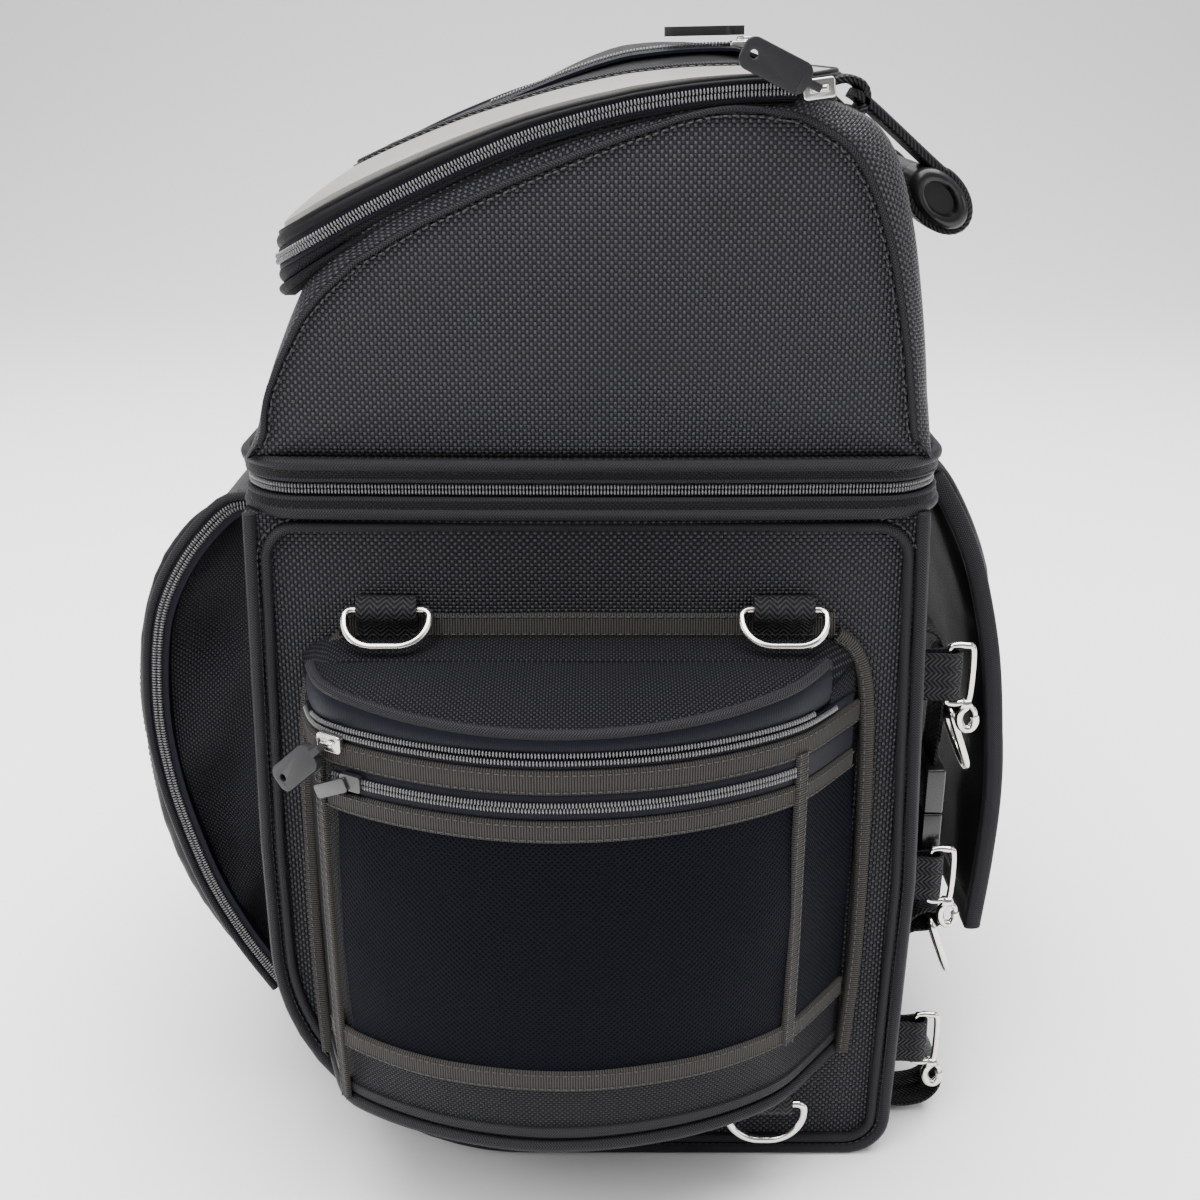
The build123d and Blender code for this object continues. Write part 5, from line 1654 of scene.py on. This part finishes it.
@dataclass
class FrontPocket:
    """Padded front pocket: a stuffed shell that hinges at its foot, gathered gussets and their zips."""

    half: float = 134.0
    hub: tuple[float, float] = (-40.0, 195.0)
    bulge: float = 4.0
    droop: float = 22.0
    seat: float = 5.5
    rim: float = 3.5
    seam_y: float = 116.0
    stuffing: Stuffing = Stuffing(voxel=0.005, pressure=4.0, cap=0.005)

    def __post_init__(self) -> None:
        """Lays out the coil's line and the shell's outer line."""
        self.coil_line = smooth_path(
            [(-143, 316), (-156, 314), (-175, 294), (-188, 271), (-194, 247), (-196.5, 214), (-194, 183),
             (-188.5, 156), (-180, 127), (-167, 98), (-152, 72)],
            5.0,
        )
        self.outer_line = smooth_path(
            [(-142, 319), (-156, 318.5), (-174, 312), (-189, 292), (-199, 263), (-204, 233), (-205, 203),
             (-203, 172), (-197, 140), (-188, 113), (-173, 87), (-154, 68)], 5.0
        )

    def build(self) -> None:
        """Makes and dresses every piece."""
        self._shell()
        for side in (NEAR, FAR):
            self._gusset(side)
        self._zips()

    def _shell(self) -> None:
        """Stuffed shell of the pocket."""
        count = 60
        inner = self._even(self.coil_line, count)
        outer = self._even(self.outer_line, count)
        rows = np.linspace(-1, 1, 46)
        front, back, uv = blank(count, len(rows))
        for i in range(count):
            middle = math.sin(math.pi * i / (count - 1))
            away = unit(np.array([inner[i] - self.hub]))[0]
            for j, share in enumerate(rows):
                over = max(0.0, (abs(share) - 0.86) / 0.14)
                full = math.sqrt(max(0.0, 1 - over**2.2))
                puff = self.bulge * middle * (1 - share**2)
                dent = 1.6 * waves((share * 134, i * 5.0, 0), 55, 101.0) * middle * full
                spot = inner[i] + (outer[i] - inner[i]) * full + away * (puff + dent + self.rim * (1 - full))
                drop = self._droop(spot, share)
                front[i, j] = (spot[0], share * self.half, spot[1] - drop)
                seat = inner[i] - away * self.seat
                back[i, j] = (seat[0], share * self.half, seat[1] - drop)
                uv[i, j] = (i * 5.0, share * self.half)
        shell = mesh_object("front_shell", slab(front, back, uv))
        self.stuffing.fill(shell)
        dress(shell, PADDED_CLOTH, "front_door", ["front_door"])
        self._seams(shell, outer)
        for side in (NEAR, FAR):
            path = in_side_plane(inner, side * (self.half + 0.8))
            outs = facing(side, path)
            push = unit(inner - self.hub)
            edge = path + np.column_stack([push[:, 0], np.zeros(count), push[:, 1]]) * 5.0
            piece(f"front_cord_{word(side)}", sweep(edge, outs, cord_section(1.9)), PIPING, "front_door")

    def _seams(self, shell: bpy.types.Object, outer: Array) -> None:
        """Double rows of stitches beside the rolled edges, laid on the stuffed cloth."""
        rows = []
        for y in (-self.seam_y, 4.0 - self.seam_y, self.seam_y - 4.0, self.seam_y):
            path, outs = [], []
            for x, z in outer[3:-3]:
                hit, spot, normal, _ = shell.closest_point_on_mesh(Vector((x * MM, y * MM, z * MM)))
                if hit:
                    path.append(np.array(spot) / MM + np.array(normal) * 0.1)
                    outs.append(np.array(normal))
            rows.append((np.array(path), np.array(outs)))
        ROWS.stitches("front_stitches", rows, "front_door")

    def _droop(self, spot: Array, share: float) -> float:
        """How far the top of the pocket sinks between its sides, where nothing holds it up."""
        out = min(1.0, max(0.0, (-148 - spot[0]) / 30))
        high = min(1.0, max(0.0, (spot[1] - 215) / 80))
        return self.droop * out * high * (1 - abs(share) ** 5)

    @staticmethod
    def _even(line: Array, count: int) -> Array:
        """A line cut into count points."""
        run = np.concatenate([[0.0], np.cumsum(np.linalg.norm(np.diff(line, axis=0), axis=1))])
        stations = np.linspace(0.0, run[-1], count)
        return np.stack([np.interp(stations, run, line[:, k]) for k in (0, 1)], axis=1)

    def _gusset(self, side: int) -> None:
        """Soft side of the pocket between its zip and the case, with the folds of slack cloth."""
        count = 60
        rim = self._even(self.coil_line, count)
        case = np.column_stack([np.interp(rim[:, 1], [60, 100, 170, 318], [-134, -146.5, -146.8, -141.5]), rim[:, 1]])
        rows = np.linspace(0, 1, 16)
        front = np.zeros((count, len(rows), 3))
        uv = np.zeros((count, len(rows), 2))
        for i in range(count):
            height = case[i, 1]
            for j, share in enumerate(rows):
                spot = case[i] * (1 - share) + rim[i] * share
                slack = math.sin(math.pi * share)
                crease = math.sin(height / 12 + 4.0 * share + 2.6 * waves((height, 40 * share, 0), 45, 5.0))
                fold = (3.2 * crease + 4.0 * waves((height, 50 * share, 0), 28, 15.0)) * slack
                hollow = -6.5 * slack
                front[i, j] = (spot[0], side * (self.half - 0.6 + hollow + fold), spot[1])
                uv[i, j] = (i * 5.0, share * 50)
        back = front - (0.0, side * 2.0, 0.0)
        piece(f"front_gusset_{word(side)}", slab(front, back, uv), POCKET_CLOTH, "lower_case",
              *(["front_gussets"] if side == NEAR else []))

    def _zips(self) -> None:
        """Tapes and coil halves on both edges, and the bridge of cloth over the top."""
        count = 90
        line = self._even(self.coil_line, count)
        push = unit(line - self.hub)
        for body, sign in (("lower_case", -1), ("front_door", 1)):
            half = "case" if sign < 0 else "shell"
            tapes, rows = [], []
            for side in (NEAR, FAR):
                spot = line + push * sign * 2.8
                path = in_side_plane(spot, side * self.half)
                outs = facing(side, path)
                tapes.append(sweep(path, outs, band_section(5.0, 1.0, 0.0, 2.5)))
                row = in_side_plane(line + push * sign * 1.1, side * (self.half + 1.7))
                rows.append((row, outs))
            piece(f"front_{half}_tape", Shell.join(tapes), ZIP_TAPE, body)
            ROWS.coil(f"front_{half}_coil", rows, body)
        bridge = smooth_path([(-138, 319), (-141, 320.5), (-144, 319.5)], 2.0)
        columns = np.linspace(-self.half, self.half, 40)
        front = np.array([[(x, y, z + 0.8 * waves((x, y, 0), 30, 7.0)) for y in columns] for x, z in bridge])
        foot = front - (0.0, 0.0, 2.2)
        uv = np.array([[(i * 3.0, y) for y in columns] for i in range(len(bridge))])
        piece("front_bridge", slab(front, foot, uv), GUSSET_CLOTH, "lower_case")


@dataclass
class Sleeve:
    """Padded sleeve at the back that slips down over a sissy bar, joined along its top."""

    half: float = 111.0
    line: tuple[tuple[float, float], ...] = (
        (142, 327), (152, 327), (162, 314), (174, 291), (182, 268),
        (190, 234), (195, 195), (197.5, 161), (196.5, 123), (194, 88),
    )
    thick: float = 7.0
    stuffing: Stuffing = Stuffing(voxel=0.005, pressure=4.0, cap=0.004)

    def build(self) -> None:
        """Makes and dresses the sleeve, its bound edges and stitches."""
        outer = smooth_path(self.line, 5.0)
        inward = directions(outer, False)[:, ::-1] * (1, -1)
        if inward[len(outer) // 2, 0] > 0:
            inward = -inward
        rows = np.linspace(-1, 1, 44)
        front, back, uv = blank(len(outer), len(rows))
        for i, spot in enumerate(outer):
            for j, share in enumerate(rows):
                y = share * self.half
                edge = 0.7 * max(0.0, (abs(share) - 0.93) / 0.07) ** 2
                dent = 1.2 * waves((y, spot[1], 0), 60, 111.0)
                top = spot - inward[i] * (dent - edge)
                low = spot + inward[i] * (self.thick + dent - edge)
                front[i, j] = (top[0], y, top[1])
                back[i, j] = (low[0], y, low[1])
                uv[i, j] = (i * 5.0, y)
        sleeve = mesh_object("sleeve", slab(front, back, uv))
        self.stuffing.fill(sleeve)
        dress(sleeve, PADDED_CLOTH, "lower_case", ["sissy_bar_sleeve"])
        middle = outer + inward * (self.thick / 2)
        shells, rows_of = [], []
        for side in (NEAR, FAR):
            path = in_side_plane(middle[3:], side * (self.half - 0.5))
            outs = facing(side, path)
            shells.append(sweep(path, outs, band_section(self.thick + 1.5, 1.4, 0.8, 2.5)))
            seam = in_side_plane(outer[3:] - inward[3:] * 0.4, side * (self.half - 7))
            away = np.column_stack([-inward[3:, 0], np.zeros(len(seam)), -inward[3:, 1]])
            rows_of.append((seam, away))
        foot = middle[-1]
        ends = np.array([(foot[0], y, foot[1]) for y in np.linspace(-self.half, self.half, 40)])
        shells.append(sweep(ends, np.tile((0.0, 0.0, -1.0), (40, 1)), band_section(self.thick + 1.5, 1.4, 0.8, 2.5)))
        piece("sleeve_binding", Shell.join(shells), PIPING, "lower_case")
        ROWS.stitches("sleeve_stitches", rows_of, "lower_case")


def strap(points: Sequence[tuple[float, float]], y: float, width: float, thick: float = 1.7) -> Shell:
    """Webbing that runs in an X-Z plane.

    Args:
        points: places that its middle passes through.
        y: where its middle lies across the bag.
        width: width of the webbing.
        thick: its thickness.

    Returns:
        A closed mesh.
    """
    path = in_side_plane(smooth_path(points, 2.5), y)
    outs = unit(np.cross(directions(path, False), np.tile((0.0, 1.0, 0.0), (len(path), 1))))
    half, flat = width / 2, thick / 2
    section = np.array(
        [(-half, -flat * 0.6), (-half, flat * 0.6), (-half + 1, flat), (0, flat * 1.1), (half - 1, flat),
         (half, flat * 0.6), (half, -flat * 0.6), (half - 1, -flat), (-half + 1, -flat)]
    )
    return sweep(path, outs, section)


@dataclass
class RearWebbing:
    """Straps, tabs and loops on the back that carry the rings, hooks and buckles."""

    strap_y: float = 130.0
    tab_y: float = 152.5
    width: float = 25.0

    def build(self) -> None:
        """Makes and dresses the webbing."""
        upper_fall = [(140, 262), (146, 261), (154, 256), (157, 240), (157.4, 215), (156.5, 196), (155.8, 190)]
        upper_loop = [(157.5, 236), (160.5, 228), (165, 225), (166, 221), (163.5, 217.5), (158.6, 218), (157.5, 206)]
        lower_fall = [(143, 24), (148, 26), (147.8, 60), (148, 100), (152, 112), (160, 117), (166, 114),
                      (165.6, 109.5), (160, 106.6), (151, 104), (149, 86)]
        link = [(156, 152), (156.5, 138), (158.5, 128)]
        foot_loop = [(143, 33), (156, 35.5), (169, 29), (173.5, 17), (167, 6.5), (154, 3.5), (143, 6)]
        falls, tabs = [], []
        for side in (NEAR, FAR):
            for run in (upper_fall, upper_loop, lower_fall, link, foot_loop):
                falls.append(strap(run, side * self.strap_y, self.width))
            for height in HOOK_HEIGHTS:
                tabs.append(self._tab(side, height))
        piece("rear_falls", Shell.join(falls), WEBBING, "lower_case", "rear_straps")
        piece("rear_tabs", Shell.join(tabs), WEBBING, "lower_case", "back_tabs")

    def _tab(self, side: int, height: float) -> Shell:
        """Folded tab that stands out from the back and holds a hook's eye; its width is upright."""
        y = side * self.tab_y
        out = [(143, -2.4), (152, -2.8), (157, -3.6), (160.2, -2.4), (161, 0.0)]
        loop = [(x, y + across) for x, across in out] + [(x, y - across) for x, across in reversed(out[:-1])]
        flat = smooth_path(loop, 1.4)
        path = np.column_stack([flat, np.full(len(flat), height)])
        outs = unit(np.cross(directions(path, False), np.tile((0.0, 0.0, 1.0), (len(path), 1))))
        half = 11.0
        section = np.array([(-half, -0.7), (-half, 0.7), (0, 0.95), (half, 0.7), (half, -0.7), (0, -0.9)])
        return sweep(path, outs, section)


@dataclass
class CarryHandle:
    """Webbing handle at the top of the back with a moulded grip."""

    strap_y: float = 62.0
    pivot: tuple[float, float] = (113.0, 479.0)
    grip_at: tuple[float, float] = (153.0, 438.0)
    grip_radius: float = 9.4
    grip_half: float = 79.0
    grip_oval: float = 1.65
    recess: float = 4.0

    def build(self) -> None:
        """Makes the anchors, the hanging straps and the grip."""
        patch = [(94, 484), (104, 480.5), (112, 473), (118, 463), (123, 450), (126.5, 438)]
        loop = [(96, 482), (103, 486), (111, 487.5), (117.5, 484.5), (119, 478), (115.5, 472)]
        anchors, straps = [], []
        for side in (NEAR, FAR):
            y = side * self.strap_y
            anchors += [strap(patch, y, 25.0, 2.0), strap(loop, y, 25.0, 3.6)]
            straps.append(self._hanger(y))
        piece("handle_patches", Shell.join(anchors), WEBBING, "upper_case", "handle_anchors")
        piece("handle_webbing", Shell.join(straps), WEBBING, "handle", "handle_straps")
        self._grip()

    def _hanger(self, y: float) -> Shell:
        """Strap that loops through its anchor and round the grip."""
        gx, gz = self.grip_at
        px, pz = self.pivot
        r = self.grip_radius + 0.6
        tilt = math.atan2(gz - pz, gx - px)
        turn = np.linspace(tilt + math.radians(125), tilt - math.radians(125), 16)
        lean = np.array([math.cos(tilt), math.sin(tilt)])
        ring = []
        for a in turn:
            along, aside = r * self.grip_oval * math.cos(a - tilt), r * math.sin(a - tilt)
            ring.append((gx + along * lean[0] - aside * lean[1], gz + along * lean[1] + aside * lean[0]))
        ends = [(px + 1.0, pz + 2.6), (px + 9, pz - 3.0)], [(px + 3.5, pz - 10.4), (px - 1.4, pz - 3.4)]
        return strap([*ends[0], *ring, *ends[1]], y, 25.0, 4.4)

    def _grip(self) -> None:
        """Moulded oval grip with finger ribs and a recess in each end."""
        gx, gz = self.grip_at
        lean = unit(np.array([[gx - self.pivot[0], gz - self.pivot[1]]]))[0]
        half = self.grip_half
        hollow = -half + self.recess
        profile = [(hollow, 0.03), (hollow, 0.52), (-half + 0.6, 0.6), (-half, 0.7), (-half, 0.84)]
        profile += [(-half + 1.2, 0.96), (-half + 3.5, 1.03)]
        for y in np.linspace(-half + 8, half - 8, 120):
            ribbed = abs(y) < half - 26
            profile.append((y, 1.0 - (0.03 * (1 - math.cos(2 * math.pi * y / 6.0)) if ribbed else -0.02)))
        profile += [(-y, r) for y, r in reversed(profile[:7])]
        turn = np.linspace(0, 2 * math.pi, 41)
        points = np.zeros((len(profile), 40, 3))
        uv = np.zeros((len(profile), 41, 2))
        for i, (y, size) in enumerate(profile):
            long = self.grip_radius * size * self.grip_oval * np.cos(turn[:-1])
            short = self.grip_radius * size * np.sin(turn[:-1])
            points[i, :, 0] = gx + long * lean[0] - short * lean[1]
            points[i, :, 1] = y
            points[i, :, 2] = gz + long * lean[1] + short * lean[0]
            uv[i, :, 0] = y
            uv[i, :, 1] = turn * self.grip_radius
        shell = grid(points, uv, False, True)
        last = (len(profile) - 1) * 40
        for base in (0, last):
            shell.faces.append(tuple(range(base, base + 40)))
            shell.uvs.append([(0.0, 0.0)] * 40)
        piece("moulded_grip", shell, GRIP, "handle", "handle_grip")


@dataclass
class Hardware:
    """Metal and moulded parts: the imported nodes, with softened edges where the real ones have them."""

    def build(self) -> None:
        """Dresses the wire parts and softens the moulded ones."""
        wires = ["rings_near", "rings_far", "base_ring_near", "base_ring_far", "rear_rings_upper", "rear_rings_lower"]
        for name in wires:
            coat(name, NICKEL)
        soft = {
            "belt_slider": (SLIDER, 0.7), "lid_slider": (SLIDER, 0.7), "top_slider": (SLIDER, 0.7),
            "front_slider": (SLIDER, 0.7), "pocket_slider_near": (SLIDER, 0.7), "pocket_slider_far": (SLIDER, 0.7),
            "mesh_slider_near": (BLACK_SLIDER, 0.4), "mesh_slider_far": (BLACK_SLIDER, 0.4),
            "belt_pull": (PULL, 1.0), "lid_pull": (PULL, 1.0), "top_pull": (PULL, 1.0), "front_pull": (PULL, 1.0),
            "pocket_pull_near": (PULL, 1.0), "pocket_pull_far": (PULL, 1.0),
            "buckle_sockets": (ACETAL, 1.4), "buckle_plug_near": (ACETAL, 1.2), "buckle_plug_far": (ACETAL, 1.2),
        }
        for name, (finish, radius) in soft.items():
            self._soften(name, finish, radius)
        for side in (NEAR, FAR):
            body = f"snap_hooks_{word(side)}"
            hooks = [self._snap_hook(side * 152.5, height) for height in HOOK_HEIGHTS]
            piece(f"hooks_{word(side)}", Shell.join(hooks), NICKEL, body, body)

    def _snap_hook(self, y: float, height: float) -> Shell:
        """Swivel snap hook: an eye through its tab, a knuckle, a hook and its spring gate."""

        def wire(points: Sequence[tuple[float, float]], radius: float, closed: bool) -> Shell:
            """Bent wire through points beside the bag."""
            path = in_side_plane(smooth_path(points, 1.2, closed) + (0.0, height), y)
            return sweep(path, facing(NEAR, path), cord_section(radius, 0.0, 10), closed)

        eye = [(156, -11), (156, 11), (158, 13.6), (163, 13.6), (166.2, 11), (166.2, -11), (163, -13.6), (158, -13.6)]
        hook = [(166.4, -14.5), (163.4, -17.5), (162.6, -21.5), (164.4, -25.6), (167.8, -26.2), (169.8, -23.2),
                (169.4, -20)]
        gate = [(166.8, -15), (169.2, -17.5), (169.9, -21.5)]
        knuckle = [(163.0, -13.8), (165.0, -14.2), (167.4, -13.6)]
        parts = ((eye, 1.5, True), (hook, 1.9, False), (gate, 1.1, False), (knuckle, 2.5, False))
        return Shell.join([wire(*part) for part in parts])

    def _soften(self, name: str, finish: Finish, radius: float) -> None:
        """Copies a node's mesh, rounds its sharp edges and stands it in the node's place.

        Args:
            name: the node.
            finish: its finish.
            radius: of the rounding, in millimetres.
        """
        node = frame["nodes"][name]
        mesh = node.data.copy()
        mesh.materials.clear()
        work = bmesh.new()
        work.from_mesh(mesh)
        bmesh.ops.remove_doubles(work, verts=work.verts, dist=1e-6)
        bmesh.ops.dissolve_limit(work, angle_limit=math.radians(2), verts=work.verts, edges=work.edges)
        work.to_mesh(mesh)
        work.free()
        thing = placed(f"{name}_shape", mesh)
        bevel = thing.modifiers.new("edges", "BEVEL")
        bevel.width, bevel.segments = radius * MM, 3
        bevel.limit_method, bevel.angle_limit = "ANGLE", math.radians(50)
        settled(thing)
        smooth_shade(thing.data, 40.0)
        dress(thing, finish, node["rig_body"], [name])


class Studio:
    """Pale floor, soft light and the camera."""

    def build(self) -> None:
        """Sets the stage."""
        self._floor()
        self._lights()
        self._camera()

    def _floor(self) -> None:
        """Floor that curves up behind the bag."""
        line = rounded_path([(-3.0, 0.0, 0), (4.0, 0.0, 2.0), (4.0, 5.0, 0)], 0.25, False)
        mesh = bpy.data.meshes.new("floor")
        points = [(x, y, z - 0.0006) for y, z in line for x in (-7.0, 7.0)]
        faces = [(2 * i, 2 * i + 1, 2 * i + 3, 2 * i + 2) for i in range(len(line) - 1)]
        mesh.from_pydata(points, [], faces)
        smooth_shade(mesh)
        floor = placed("floor", mesh)
        paint = bpy.data.materials.new("studio_paper")
        paint.use_nodes = True
        shader = paint.node_tree.nodes["Principled BSDF"]
        shader.inputs["Base Color"].default_value = (0.95, 0.95, 0.95, 1.0)
        shader.inputs["Roughness"].default_value = 0.9
        mesh.materials.append(paint)

    def _lights(self) -> None:
        """One big soft light above, one on each side, and a pale world."""
        world = bpy.data.worlds.new("studio")
        bpy.context.scene.world = world
        world.use_nodes = True
        sky = world.node_tree.nodes["Background"]
        sky.inputs[0].default_value = (1.0, 1.0, 1.0, 1.0)
        sky.inputs[1].default_value = 0.32
        for name, place, size, power in (
            ("key", (-0.7, -1.3, 1.7), 1.0, 27.0),
            ("top", (0.0, 0.2, 2.4), 2.8, 230.0),
            ("right", (1.7, -0.8, 0.9), 1.0, 10.0),
            ("left", (-1.8, -0.4, 0.9), 1.0, 9.0),
        ):
            light = bpy.data.lights.new(name, "AREA")
            light.shape, light.size, light.energy = "SQUARE", size, power
            lamp = placed(name, light)
            lamp.location = place
            lamp.rotation_euler = (Vector((0, 0, 0.25)) - Vector(place)).to_track_quat("-Z", "Y").to_euler()

    def _camera(self) -> None:
        """Camera at the near side, a little above the lid and looking down."""
        lens = bpy.data.cameras.new("camera")
        lens.sensor_width, lens.lens = 36.0, 43.8
        eye = placed("camera", lens)
        eye.location = (0.004, -0.737, 0.502)
        eye.rotation_euler = (math.radians(90 - 20.9), 0.0, 0.0)
        bpy.context.scene.camera = eye


def main() -> None:
    """Builds the bag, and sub-assembly by sub-assembly."""
    logging.basicConfig(level=logging.INFO, format="%(name)s: %(message)s")
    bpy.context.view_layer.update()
    builders: list[Callable[[], None]] = [
        Studio().build,
        LowerCase().build,
        Belt().build,
        UpperCase().build,
        Lid().build,
        SidePocket(NEAR).build,
        SidePocket(FAR).build,
        FrontPocket().build,
        Sleeve().build,
        RearWebbing().build,
        CarryHandle().build,
        Hardware().build,
    ]
    for build in builders:
        build()


if __name__ == "__main__":
    main()
